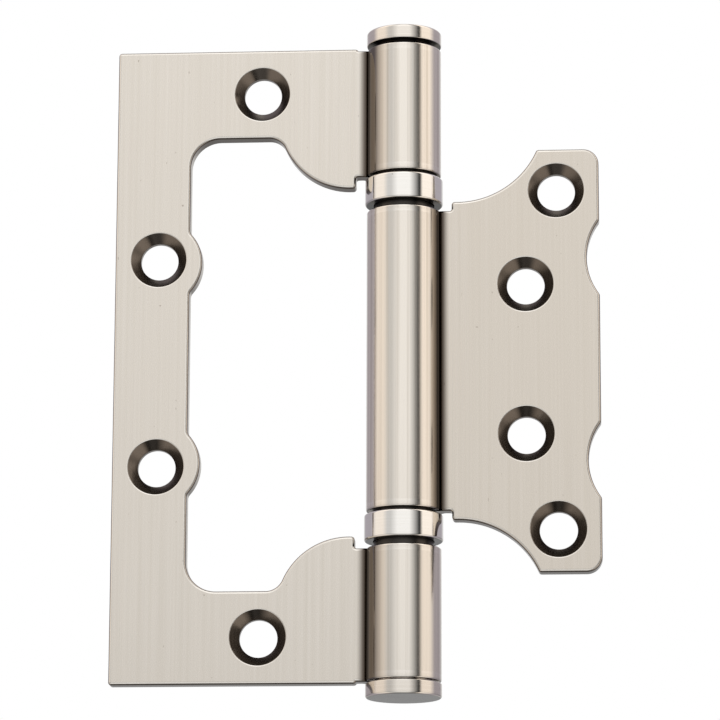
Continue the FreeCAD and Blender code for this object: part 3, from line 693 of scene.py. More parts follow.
@dataclass
class Leaf:
    """A leaf punched from sheet with its tongues rolled round the pin, in millimetres."""

    side: Side
    node: str
    body: str
    finish: MetalFinish
    roll: Roll = field(default_factory=Roll)
    face_rounding: float = 0.48
    roll_rounding: float = 0.3
    back_rounding: float = 0.12
    root_rounding: float = 0.35
    foot_rounding: float = 0.52
    seam_rounding: float = 0.35
    lobe_relief: float = 1.85
    frame_knuckle_foot: float = 29.25
    window_reach: float = 33.2
    web_hole_reach: float = 38.025
    web_lobe_radius: float = 6.775
    web_lobe_spread: float = 15.9
    screw_radius: float = 2.9
    countersink_radius: float = 4.375
    countersink_lip: float = 0.3
    # How far dark plating and painted shade darken the countersinks
    countersink_shade: float = 0.88
    tongue_columns: int = 130
    # Where and how much painted shade darkens the roll's outside in the valley beside its plate
    valley: float = 4.6
    valley_ramp: float = 2.8
    valley_depth: float = 0.9
    # Painted shade on the walls, most where they face down, and a painted dark line on the front rounding
    # next to the wall
    wall_shade: float = 0.3
    shoulder_shade: float = 0.8
    shoulder_place: float = 0.84
    shoulder_width: float = 0.18
    # How far round the front rounding wear and a painted highlight brighten it, in degrees
    brightening_reach: float = 50.0
    # How soon painted shade darkens the front face where it dives behind the roll
    crevice_ramp: float = 0.8
    # A band at each knuckle end, brightened by wear and a painted highlight
    end_band: float = 1.0
    band_edge: float = 0.12
    band_wear_and_highlight: float = 0.55
    screw_foot_rounding: float = 0.1
    rim_steps: int = 7
    countersink_steps: int = 80

    @property
    def lobe(self) -> tuple[Point, float]:
        """Centre and radius of the big lobe beside a frame knuckle."""
        radius = self.window_reach / 3
        return (self.window_reach / 4, self.frame_knuckle_foot - self.lobe_relief + radius), radius

    @property
    def tongue_start(self) -> float:
        """Where a tongue leaves the plate."""
        return self.roll.root - self.root_rounding

    @property
    def tongue_stop(self) -> float:
        """Where a tongue's end starts to round off."""
        return self.roll.blank_end + self.seam_rounding

    def blank(self) -> list[Stretch]:
        """The blank's outline, gone round with the metal on the left."""
        raise NotImplementedError

    def tongues(self) -> list[tuple[float, float]]:
        """Each tongue's lower and upper height."""
        raise NotImplementedError

    def holes(self) -> list[Point]:
        """Each screw hole's place across and up."""
        raise NotImplementedError

    def tongue(self, low: float, high: float) -> list[Stretch]:
        """A tongue's outline from its upper root round its end to its lower root."""
        across = np.linspace(self.tongue_start, self.tongue_stop, self.tongue_columns)
        corner = self.seam_rounding
        return [
            Run(across, high, 1.0),
            Arc(self.tongue_stop, high - corner, corner, 90.0, 180.0),
            Arc(self.tongue_stop, low + corner, corner, 180.0, 270.0),
            Run(across[::-1], low, -1.0),
        ]

    def outline(self) -> tuple[np.ndarray, np.ndarray]:
        """The blank's outline as points and outward normals, with no point twice."""
        pairs = [stretch.samples() for stretch in self.blank()]
        points = np.concatenate([points for points, _ in pairs])
        normals = np.concatenate([normals for _, normals in pairs])
        apart = np.linalg.norm(points - np.roll(points, 1, axis=0), axis=1) > SAME_PLACE
        return points[apart], normals[apart]

    def rim(self, skin: Skin, points: np.ndarray, normals: np.ndarray) -> np.ndarray:
        """The rounded edge all round the blank.

        Over each rounding an angle runs from 0 on the face to 90 degrees on the wall. The edge
        stands in from the outline by the rounding times one less the angle's sine, and leaves the
        face by the rounding times one less its cosine. Wear and a painted highlight brighten the
        angles up to a reach, a painted dark line on the shoulder after them stands for a dark
        reflection, and painted shade darkens the walls, the crevice behind the roll and the valley
        beside the plate.

        Args:
            skin: Where the surface goes.
            points: The outline.
            normals: The outline's outward normals.

        Returns:
            The numbers of the rim's points, a row for each outline point, from front to back.
        """
        half = self.roll.half
        share = self.roll.rolled_share(points[:, :1])
        front = self.face_rounding * (1 - share) + self.back_rounding * share
        rear = self.back_rounding * (1 - share) + self.roll_rounding * share
        rise = np.radians(np.linspace(0.0, 90.0, self.rim_steps))
        fall = rise[::-1]
        inset = np.concatenate([front * (1 - np.sin(rise)), rear * (1 - np.sin(fall))], axis=1)
        leave = (front * (1 - np.cos(rise)) - half, half - rear * (1 - np.cos(fall)))
        leave = np.concatenate(leave, axis=1)
        outward = np.concatenate([np.sin(rise), np.sin(fall)])
        facing = np.concatenate([-np.cos(rise), np.cos(fall)])
        across = points[:, :1] - normals[:, :1] * inset
        up = points[:, 1:] - normals[:, 1:] * inset
        parts = (normals[:, :1] * outward, normals[:, 1:] * outward, facing)
        local = np.stack(np.broadcast_arrays(*parts), axis=-1)
        # Painted shade on the walls, full on those that face down
        downward_shade = self.wall_shade + (1.0 - self.wall_shade) * smooth_step(-normals[:, 1:])
        behind = np.where(facing < 0.0, 1.0, 0.0)
        # A painted dark line on the shoulder, standing for a dark reflection
        shoulder = np.exp(-(((outward - self.shoulder_place) / self.shoulder_width) ** 2)) * behind
        walls = np.maximum(downward_shade * smooth_step((outward - 0.5) / 0.4), self.shoulder_shade * shoulder)
        # Painted shade in the crevice behind the roll and in the valley beside the plate
        crease_shade = behind * self.crevice(points[:, :1]) + (1.0 - behind) * self.seam_valley(points[:, :1])
        # Wear and a painted highlight on the front rounding and on the back edge
        edge_brightening = np.sin(math.pi * np.clip(np.degrees(rise) / self.brightening_reach, 0.0, 1.0))
        wear_and_highlight = np.concatenate([edge_brightening, np.sin(2 * fall)])
        return skin.add_points(
            self.roll.bend(across, up, leave), self.roll.bend_normals(across, local),
            np.maximum(walls, crease_shade), wear_and_highlight, share * (1.0 - behind),
        )

    def crevice(self, across: np.ndarray) -> np.ndarray:
        """How much painted shade darkens the front face where it dives behind the roll, from 0 to 1."""
        return smooth_step((self.tongue_start - 0.02 - across) / self.crevice_ramp)

    def seam_valley(self, across: np.ndarray) -> np.ndarray:
        """How much painted shade darkens the roll's outside in the valley beside its own plate, from 0 to
        1.
        """
        inside = self.valley - (across - self.roll.blank_end)
        return self.valley_depth * smooth_step(inside / self.valley_ramp)

    def roll_rows(self, skin: Skin, across: np.ndarray, low: float, high: float) -> list[np.ndarray]:
        """Rows of points along the roll's outside that part off a band at each end, brightened by wear and
        a painted highlight.

        Each row keeps the places across of the tongue's sides, at the back face's depth.

        Args:
            skin: Where the points go.
            across: The places across.
            low: The tongue's lower height.
            high: Its upper height.

        Returns:
            The rows' point numbers, from the upper to the lower.
        """
        band, edge, half = self.end_band, self.band_edge, self.roll.half
        heights = (high - band, high - band - edge, low + band + edge, low + band)
        band_brightening = (self.band_wear_and_highlight, 0.0, 0.0, self.band_wear_and_highlight)
        share = self.roll.rolled_share(across)
        local = np.broadcast_to(np.array([0.0, 0.0, 1.0]), (len(across), 3))
        rows = []
        for height, wear_and_highlight in zip(heights, band_brightening):
            places = self.roll.bend(across, np.full_like(across, height), np.full_like(across, half))
            normals = self.roll.bend_normals(across, local)
            rows.append(skin.add_points(places, normals, self.seam_valley(across), wear_and_highlight * share, share))
        return rows

    def countersink(self, skin: Skin, hole: Point) -> np.ndarray:
        """One countersunk screw hole, turned about its own axis with its lip and edges rounded.

        Args:
            skin: Where the surface goes.
            hole: The hole's place across and up.

        Returns:
            The numbers of its points, a row for each step round it, from front to back.
        """
        half = self.roll.half
        foot = self.countersink_radius - self.screw_radius - half
        section = Section((
            (self.screw_radius + 1.0, half, 0.0),
            (self.screw_radius, half, self.back_rounding),
            (self.screw_radius, foot, self.screw_foot_rounding),
            (self.countersink_radius, -half, self.countersink_lip),
            (self.countersink_radius + 1.0, -half, 0.0),
        ))
        places, facing, wear_and_highlight = (part[::-1] for part in section.rounded())
        angle = np.linspace(0.0, 2 * math.pi, self.countersink_steps, endpoint=False)[:, None]
        radius, depth = places[:, 0], places[:, 1]
        across = hole[0] + radius * np.cos(angle)
        up = hole[1] + radius * np.sin(angle)
        parts = (facing[:, 0] * np.cos(angle), facing[:, 0] * np.sin(angle), facing[:, 1])
        local = np.stack(np.broadcast_arrays(*parts), axis=-1)
        # Dark plating and painted shade darken the cone and the bore
        shade_and_plating = self.countersink_shade * smooth_step((np.abs(facing[:, 0]) - 0.5) / 0.2)
        # Wear and a painted highlight brighten the lip
        lip = np.where(depth < 0.0, wear_and_highlight, 0.0)
        return skin.add_points(
            self.roll.bend(across, up, depth), self.roll.bend_normals(across, local), shade_and_plating, lip
        )

    def tongue_faces(
        self, skin: Skin, points: np.ndarray, rim: np.ndarray, low: float, high: float
    ) -> np.ndarray:
        """Close a tongue's two faces, between its upper and lower side and at its rounded end.

        Args:
            skin: Where the faces go.
            points: The outline.
            rim: The rim's point numbers.
            low: The tongue's lower height.
            high: Its upper height.

        Returns:
            The numbers of the points across the tongue's root on the back, from the top down.
        """
        across, up = points[:, 0], points[:, 1]
        along = (across < self.tongue_start + SAME_PLACE) & (across > self.tongue_stop - SAME_PLACE)
        above = np.nonzero(along & (np.abs(up - high) < SAME_PLACE))[0]
        below = np.nonzero(along & (np.abs(up - low) < SAME_PLACE))[0]
        above, below = above[np.argsort(-across[above])], below[np.argsort(-across[below])]
        inside = (up > low - SAME_PLACE) & (up < high + SAME_PLACE)
        end = np.nonzero(inside & (across < self.tongue_stop + SAME_PLACE))[0]
        half = len(end) // 2
        for column in (0, -1):
            rows = self.roll_rows(skin, across[above], low, high) if column == -1 else []
            grid = np.stack([rim[above, column], *rows, rim[below, column]])
            skin.add_quads(grid, wrap_rows=False, wrap_columns=False)
            self.tongue_end(skin, rim[end[:half], column], rim[end[::-1][:half], column], grid[:, -1])
        return grid[1:-1, 0]

    @staticmethod
    def tongue_end(skin: Skin, upper: np.ndarray, lower: np.ndarray, edge: np.ndarray) -> None:
        """Close the rounded end: a fan onto the tongue's last column of points, then quads.

        Args:
            skin: Where the faces go.
            upper: Point numbers round the upper corner, from the column's upper end.
            lower: Point numbers round the lower corner, from the column's lower end.
            edge: The last column's point numbers, from the top down.
        """
        tip = np.full(len(edge), upper[1])
        following = np.append(edge[1:], lower[1])
        skin.faces.append(np.stack([tip, edge, following], axis=1))
        skin.add_ladder(upper[1:], lower[1:])

    def plate_edge(self, points: np.ndarray, numbers: np.ndarray, roots: list[np.ndarray]) -> np.ndarray:
        """The plate's edge on one face, straight across the root of each tongue.

        Args:
            points: The outline.
            numbers: The rim's point numbers on this face.
            roots: The point numbers across each tongue's root.

        Returns:
            The edge's point numbers.
        """
        parts, start = [], 0
        beyond, up = points[:, 0] < self.tongue_start - SAME_PLACE, points[:, 1]
        for (low, high), root in zip(self.tongues(), roots):
            inside = np.nonzero(beyond & (up > low - 0.01) & (up < high + 0.01))[0]
            parts += [numbers[start:inside[0]], root]
            start = inside[-1] + 1
        return np.concatenate([*parts, numbers[start:]])

    def flat_faces(
        self, skin: Skin, points: np.ndarray, rim: np.ndarray, sinks: list[np.ndarray],
        roots: list[np.ndarray],
    ) -> None:
        """Fill the plate's front and back between the rim and the screw holes.

        Args:
            skin: Where the triangles go.
            points: The outline.
            rim: The rim's point numbers.
            sinks: The point numbers of each screw hole.
            roots: The point numbers across each tongue's root on the back.
        """
        for column in (0, -1):
            crossed = roots if column == -1 else [root[:0] for root in roots]
            edge = self.plate_edge(points, rim[:, column], crossed)
            loops = [edge] + [sink[:, column] for sink in sinks]
            plane = [[Vector((x, z, 0.0)) for x, _, z in skin.places(loop)] for loop in loops]
            triangles = np.array(tessellate_polygon(plane))
            skin.faces.append(np.concatenate(loops)[triangles])

    def surface(self) -> Skin:
        """The whole leaf: rim, holes, faces and tongues.

        Returns:
            The closed surface, about the pin's axis.
        """
        skin = Skin()
        points, normals = self.outline()
        rim = self.rim(skin, points, normals)
        skin.add_quads(rim, wrap_rows=True, wrap_columns=False)
        sinks = [self.countersink(skin, hole) for hole in self.holes()]
        for sink in sinks:
            skin.add_quads(sink, wrap_rows=True, wrap_columns=False)
        roots = [self.tongue_faces(skin, points, rim, low, high) for low, high in self.tongues()]
        self.flat_faces(skin, points, rim, sinks, roots)
        mirror = np.array([self.side.value, 1.0, 1.0])
        skin.points = [part * mirror for part in skin.points]
        skin.normals = [part * mirror for part in skin.normals]
        return skin

    def build(self, pin: Vector) -> None:
        """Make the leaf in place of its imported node."""
        piece = self.surface().mesh(f"{self.node}_pressed", pin)
        stand_in(piece, self.node, self.body, self.finish)


@dataclass
class FrameLeaf(Leaf):
    """The C-shaped leaf: a window, lobes beside its web screws and knuckles, and two tongues."""

    reach: float = 44.8
    half_height: float = 50.0
    blank_corner: float = 0.5
    window_half: float = 35.7
    window_corner: float = 4.6
    lobe_blend: float = 2.8
    web_lobe_blend: float = 1.2
    knuckle_top: float = 49.7
    bar_hole_reach: float = 22.1
    bar_hole_spread: float = 42.85
    web_hole_spread: float = 16.35
    step_turn: float = 60.0
    step_outer: float = 0.85
    step_inner: float = 0.15

    def tongues(self) -> list[tuple[float, float]]:
        """The lower and upper height of both tongues."""
        foot, top = self.frame_knuckle_foot, self.knuckle_top
        return [(foot, top), (-top, -foot)]

    def holes(self) -> list[Point]:
        """Two screws in the bars and two in the web."""
        bar, web = self.bar_hole_reach, self.web_hole_reach
        high, mid = self.bar_hole_spread, self.web_hole_spread
        return [(bar, high), (bar, -high), (web, mid), (web, -mid)]

    def blank(self) -> list[Stretch]:
        """The upper half from the outer corner to the web's middle, and its mirror image.

        Returns:
            The outline's stretches in order.
        """
        corner, window, root = self.blank_corner, self.window_corner, self.root_rounding
        upper = [
            Arc(self.reach - corner, self.half_height - corner, corner, 0.0, 90.0),
            *self.shoulder(),
            *self.tongue(self.frame_knuckle_foot, self.knuckle_top),
            Arc(self.tongue_start, self.frame_knuckle_foot - root, root, 90.0, 0.0),
            *self.barrel_lobe(),
            Arc(self.window_reach - window, self.window_half - window, window, 90.0, 0.0),
            *self.web_lobe(),
        ]
        return upper + [stretch.mirrored() for stretch in reversed(upper)]

    def shoulder(self) -> list[Stretch]:
        """The soft step from the plate's top edge down to the tongue's.

        It is two arcs of one turn each. Their radii together are the step's height over one less
        the turn's cosine.

        Returns:
            The outer arc and the inner one.
        """
        turn = self.step_turn
        step = self.half_height - self.knuckle_top
        both = step / (1 - math.cos(math.radians(turn)))
        outer, inner = self.step_outer * both, self.step_inner * both
        start = self.tongue_start + both * math.sin(math.radians(turn))
        return [
            Arc(start, self.half_height - outer, outer, 90.0, 90.0 + turn),
            Arc(self.tongue_start, self.knuckle_top + inner, inner, 270.0 + turn, 270.0),
        ]

    def barrel_lobe(self) -> list[Stretch]:
        """The big lobe from its foot at the root to its blend into the window's top edge.

        Returns:
            The foot's hollow, the lobe and the blend.
        """
        centre, radius = self.lobe
        foot_across = self.roll.root + self.foot_rounding
        foot_up = centre[1] - leg(radius - self.foot_rounding, foot_across - centre[0])
        foot = (foot_across, foot_up)
        level = self.window_half - self.lobe_blend
        blend = (centre[0] + leg(radius + self.lobe_blend, centre[1] - level), level)
        first, last = bearing_angle(centre, foot), bearing_angle(centre, blend)
        return [
            Arc(*foot, self.foot_rounding, 180.0, first),
            Arc(*centre, radius, first, last),
            Arc(*blend, self.lobe_blend, last - 180.0, 90.0),
        ]

    def web_lobe(self) -> list[Stretch]:
        """The round lobe beside a web screw, with a blend into the window's side at both ends.

        Returns:
            The upper blend, the lobe and the lower blend.
        """
        across = self.window_reach - self.web_lobe_blend
        rise = leg(self.web_lobe_radius + self.web_lobe_blend, self.web_hole_reach - across)
        turn = math.degrees(math.atan2(rise, self.web_hole_reach - across))
        return [
            Arc(across, self.web_lobe_spread + rise, self.web_lobe_blend, 0.0, -turn),
            Arc(
                self.web_hole_reach, self.web_lobe_spread, self.web_lobe_radius,
                180.0 - turn, 180.0 + turn,
            ),
            Arc(across, self.web_lobe_spread - rise, self.web_lobe_blend, turn, 0.0),
        ]


@dataclass
class DoorLeaf(Leaf):
    """The leaf that folds into the window: its edges follow the window's lobes at a gap."""

    reach: float = 30.2
    half_height: float = 33.2
    corner: float = 2.4
    horn_tip: float = 0.5
    lobe_gap: float = 2.35
    scallop_gap: float = 3.0
    scallop_blend: float = 0.8
    knuckle_half: float = 23.6
    valley: float = 2.9
    valley_ramp: float = 2.0
    inner_hole: Point = (18.8, 11.75)
    outer_hole: Point = (23.6, 26.6)

    def tongues(self) -> list[tuple[float, float]]:
        """The lower and upper height of the middle tongue."""
        return [(-self.knuckle_half, self.knuckle_half)]

    def holes(self) -> list[Point]:
        """Two inner and two outer screws."""
        pair = (self.inner_hole, self.outer_hole)
        return [(across, way * up) for across, up in pair for way in (1, -1)]

    def blank(self) -> list[Stretch]:
        """The upper edge from the outer side to the root, the tongue, and the edge's mirror image.

        Returns:
            The outline's stretches in order.
        """
        corner, root = self.corner, self.root_rounding
        upper = [
            *self.scallop(),
            Arc(self.reach - corner, self.half_height - corner, corner, 0.0, 90.0),
            *self.bite(),
            Arc(self.tongue_start, self.knuckle_half + root, root, 360.0, 270.0),
        ]
        tongue = self.tongue(-self.knuckle_half, self.knuckle_half)
        return upper + tongue + [stretch.mirrored() for stretch in reversed(upper)]

    def scallop(self) -> list[Stretch]:
        """The hollow that clears a web lobe, with a soft corner at both ends.

        Returns:
            The lower corner, the hollow and the upper corner.
        """
        radius = self.web_lobe_radius + self.scallop_gap
        across = self.reach - self.scallop_blend
        rise = leg(radius + self.scallop_blend, self.web_hole_reach - across)
        turn = math.degrees(math.atan2(rise, self.web_hole_reach - across))
        return [
            Arc(across, self.web_lobe_spread - rise, self.scallop_blend, 0.0, turn),
            Arc(self.web_hole_reach, self.web_lobe_spread, radius, 180.0 + turn, 180.0 - turn),
            Arc(across, self.web_lobe_spread + rise, self.scallop_blend, -turn, 0.0),
        ]

    def bite(self) -> list[Stretch]:
        """The hollow that clears a big lobe, from the horn's tip to the foot at the root.

        Returns:
            The tip's rounding, the hollow and the foot's.
        """
        centre, lobe = self.lobe
        radius = lobe + self.lobe_gap
        level = self.half_height - self.horn_tip
        tip = (centre[0] + leg(radius + self.horn_tip, centre[1] - level), level)
        foot_across = self.roll.root + self.foot_rounding
        foot = (foot_across, centre[1] - leg(radius + self.foot_rounding, foot_across - centre[0]))
        first, last = bearing_angle(centre, tip), bearing_angle(centre, foot)
        return [
            Arc(*tip, self.horn_tip, 90.0, first - 180.0),
            Arc(*centre, radius, first, last),
            Arc(*foot, self.foot_rounding, last - 180.0, 180.0),
        ]


def stand_in(piece: bpy.types.Object, node: str, body: str, finish: MetalFinish) -> None:
    """Dress a new piece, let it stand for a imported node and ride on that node's body.

    Args:
        piece: The new piece.
        node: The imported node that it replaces.
        body: The body that it rides on.
        finish: Its finish.
    """
    piece.data.materials.append(finish.material())
    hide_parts(node)
    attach(piece, body)
    LOG.info("made %s for %s in %s", piece.name, node, finish.name)


def dress(node: str, finish: MetalFinish) -> None:
    """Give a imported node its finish."""
    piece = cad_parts[node]
    piece.data.materials.clear()
    piece.data.materials.append(finish.material())
    LOG.info("dressed %s in %s", node, finish.name)


@dataclass
class HingePin:
    """The turned pin with its flat head, pressed into the top knuckle."""

    shank_radius: float = 3.2
    pressed_radius: float = 3.25
    neck_radius: float = 4.4
    head_radius: float = 5.8
    foot: float = -44.4
    band_foot: float = 41.7
    barrel_top: float = 49.7
    head_foot: float = 50.4
    head_top: float = 52.6
    lead_in: float = 0.4
    head_rounding: float = 0.4
    under_head_rounding: float = 0.14
    broken_edge: float = 0.1

    def section(self) -> Section:
        """The pin's section, from the middle of its foot to the middle of its head.

        Returns:
            The open section.
        """
        edge = self.broken_edge
        return Section((
            (0.0, self.foot, 0.0),
            (self.shank_radius - self.lead_in, self.foot, edge),
            (self.shank_radius, self.foot + self.lead_in, edge),
            (self.shank_radius, self.band_foot - self.lead_in, edge),
            (self.pressed_radius, self.band_foot, edge),
            (self.pressed_radius, self.barrel_top, edge),
            (self.neck_radius, self.barrel_top, edge),
            (self.neck_radius, self.head_foot, edge),
            (self.head_radius, self.head_foot, self.under_head_rounding),
            (self.head_radius, self.head_top, self.head_rounding),
            (0.0, self.head_top, 0.0),
        ))

    def build(self, pin: Vector) -> None:
        """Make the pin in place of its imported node."""
        # Painted shade inward of the neck and on the faces that look down
        skin = self.section().turned(painted_shade_radius=self.neck_radius, underside=1.0)
        stand_in(skin.mesh("hinge_pin_turned", pin), "hinge_pin", "frame", TURNED_NICKEL)


@dataclass
class BottomCap:
    """The turned end cap, its plug pressed into the bottom knuckle."""

    plug_radius: float = 3.25
    neck_radius: float = 4.4
    cap_radius: float = 5.8
    bottom: float = -52.15
    cap_top: float = -49.95
    barrel_foot: float = -49.7
    plug_top: float = -44.7
    lead_in: float = 0.4
    cap_rounding: float = 0.35
    rim_rounding: float = 0.14
    broken_edge: float = 0.1
    neck_rounding: float = 0.05
    # How much painted shade darkens the faces that look down
    underside: float = 0.9

    def section(self) -> Section:
        """The cap's section, from the middle of its end face to the middle of its plug.

        Returns:
            The open section.
        """
        return Section((
            (0.0, self.bottom, 0.0),
            (self.cap_radius, self.bottom, self.cap_rounding),
            (self.cap_radius, self.cap_top, self.rim_rounding),
            (self.neck_radius, self.cap_top, self.broken_edge),
            (self.neck_radius, self.barrel_foot, self.neck_rounding),
            (self.plug_radius, self.barrel_foot, self.neck_rounding),
            (self.plug_radius, self.plug_top - self.lead_in, self.broken_edge),
            (self.plug_radius - self.lead_in, self.plug_top, self.broken_edge),
            (0.0, self.plug_top, 0.0),
        ))

    def build(self, pin: Vector) -> None:
        """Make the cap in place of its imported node."""
        skin = self.section().turned(painted_shade_radius=0.0, underside=self.underside)
        stand_in(skin.mesh("bottom_cap_turned", pin), "bottom_cap", "frame", TURNED_NICKEL)


@dataclass
class ThrustBearing:
    """One thrust bearing: a bright shell over two races, a cage and its balls."""

    prefix: str
    foot: float
    shell_body: str
    balls: int = 8
    shell_radius: float = 6.04
    shell_wall: float = 0.5
    lip_bore: float = 4.69
    lip: float = 0.5
    bottom_gap: float = 1.05
    top_gap: float = 5.15
    rim_rounding: float = 0.32
    lip_rounding: float = 0.12
    inner_rounding: float = 0.05
    dark_margin: float = 0.2

    def section(self) -> Section:
        """The shell's section: an outside with soft rims and a lip turned in at both ends.

        Returns:
            The closed section.
        """
        low, high = self.foot + self.bottom_gap, self.foot + self.top_gap
        bore = self.shell_radius - self.shell_wall
        return Section((
            (self.lip_bore, low, self.lip_rounding),
            (self.shell_radius, low, self.rim_rounding),
            (self.shell_radius, high, self.rim_rounding),
            (self.lip_bore, high, self.lip_rounding),
            (self.lip_bore, high - self.lip, self.inner_rounding),
            (bore, high - self.lip, self.inner_rounding),
            (bore, low + self.lip, self.inner_rounding),
            (self.lip_bore, low + self.lip, self.inner_rounding),
        ), closed=True)

    def build(self, pin: Vector) -> None:
        """Make the shell in place of its node, and dress what it holds.

        Args:
            pin: The pin's axis at the hinge's middle height, in metres.
        """
        node = f"{self.prefix}_bearing_shell"
        # Painted shade inward of the rim's rounding and margin, and on the faces that look down
        painted_shade_radius = self.shell_radius - self.rim_rounding - self.dark_margin
        skin = self.section().turned(painted_shade_radius=painted_shade_radius, underside=1.0)
        piece = skin.mesh(f"{node}_formed", pin)
        stand_in(piece, node, self.shell_body, BRIGHT_NICKEL)
        dress(f"{self.prefix}_bottom_race", GROUND_STEEL)
        dress(f"{self.prefix}_top_race", GROUND_STEEL)
        dress(f"{self.prefix}_ball_cage", CAGE_BRASS)
        for number in range(1, self.balls + 1):
            dress(f"{self.prefix}_ball_{number}", BALL_STEEL)


@dataclass(frozen=True)
class Cloth:
    """One cloth of the light tent, even from its start to its end, in degrees.

    Between two cloths the glow runs over from one's to the next one's.
    """

    start: float
    end: float
    glow: float
    tint: Colour = (1.0, 1.0, 1.0)


WARM: Colour = (1.07, 0.99, 0.91)
COOL: Colour = (1.03, 0.97, 1.08)
# The cloths round the hinge, by azimuth from the camera's side, with a thin black strip on the right
AROUND: tuple[Cloth, ...] = (
    Cloth(-180.0, -165.0, 0.8),
    Cloth(-145.0, -105.0, 0.4, COOL),
    Cloth(-85.0, -60.0, 0.9, WARM),
    Cloth(-45.0, -35.0, 0.65),
    Cloth(-15.0, 20.0, 1.0),
    Cloth(48.0, 52.0, 0.05),
    Cloth(60.0, 90.0, 1.0, WARM),
    Cloth(110.0, 145.0, 0.4, COOL),
    Cloth(165.0, 180.0, 0.8),
)
# Their level by elevation, from straight below the hinge to straight above it
UPWARD: tuple[Cloth, ...] = (
    Cloth(-90.0, -75.0, 0.15),
    Cloth(-55.0, -30.0, 0.9),
    Cloth(-15.0, -10.0, 0.6),
    Cloth(10.0, 20.0, 1.05),
    Cloth(40.0, 70.0, 1.35),
    Cloth(80.0, 90.0, 0.6),
)


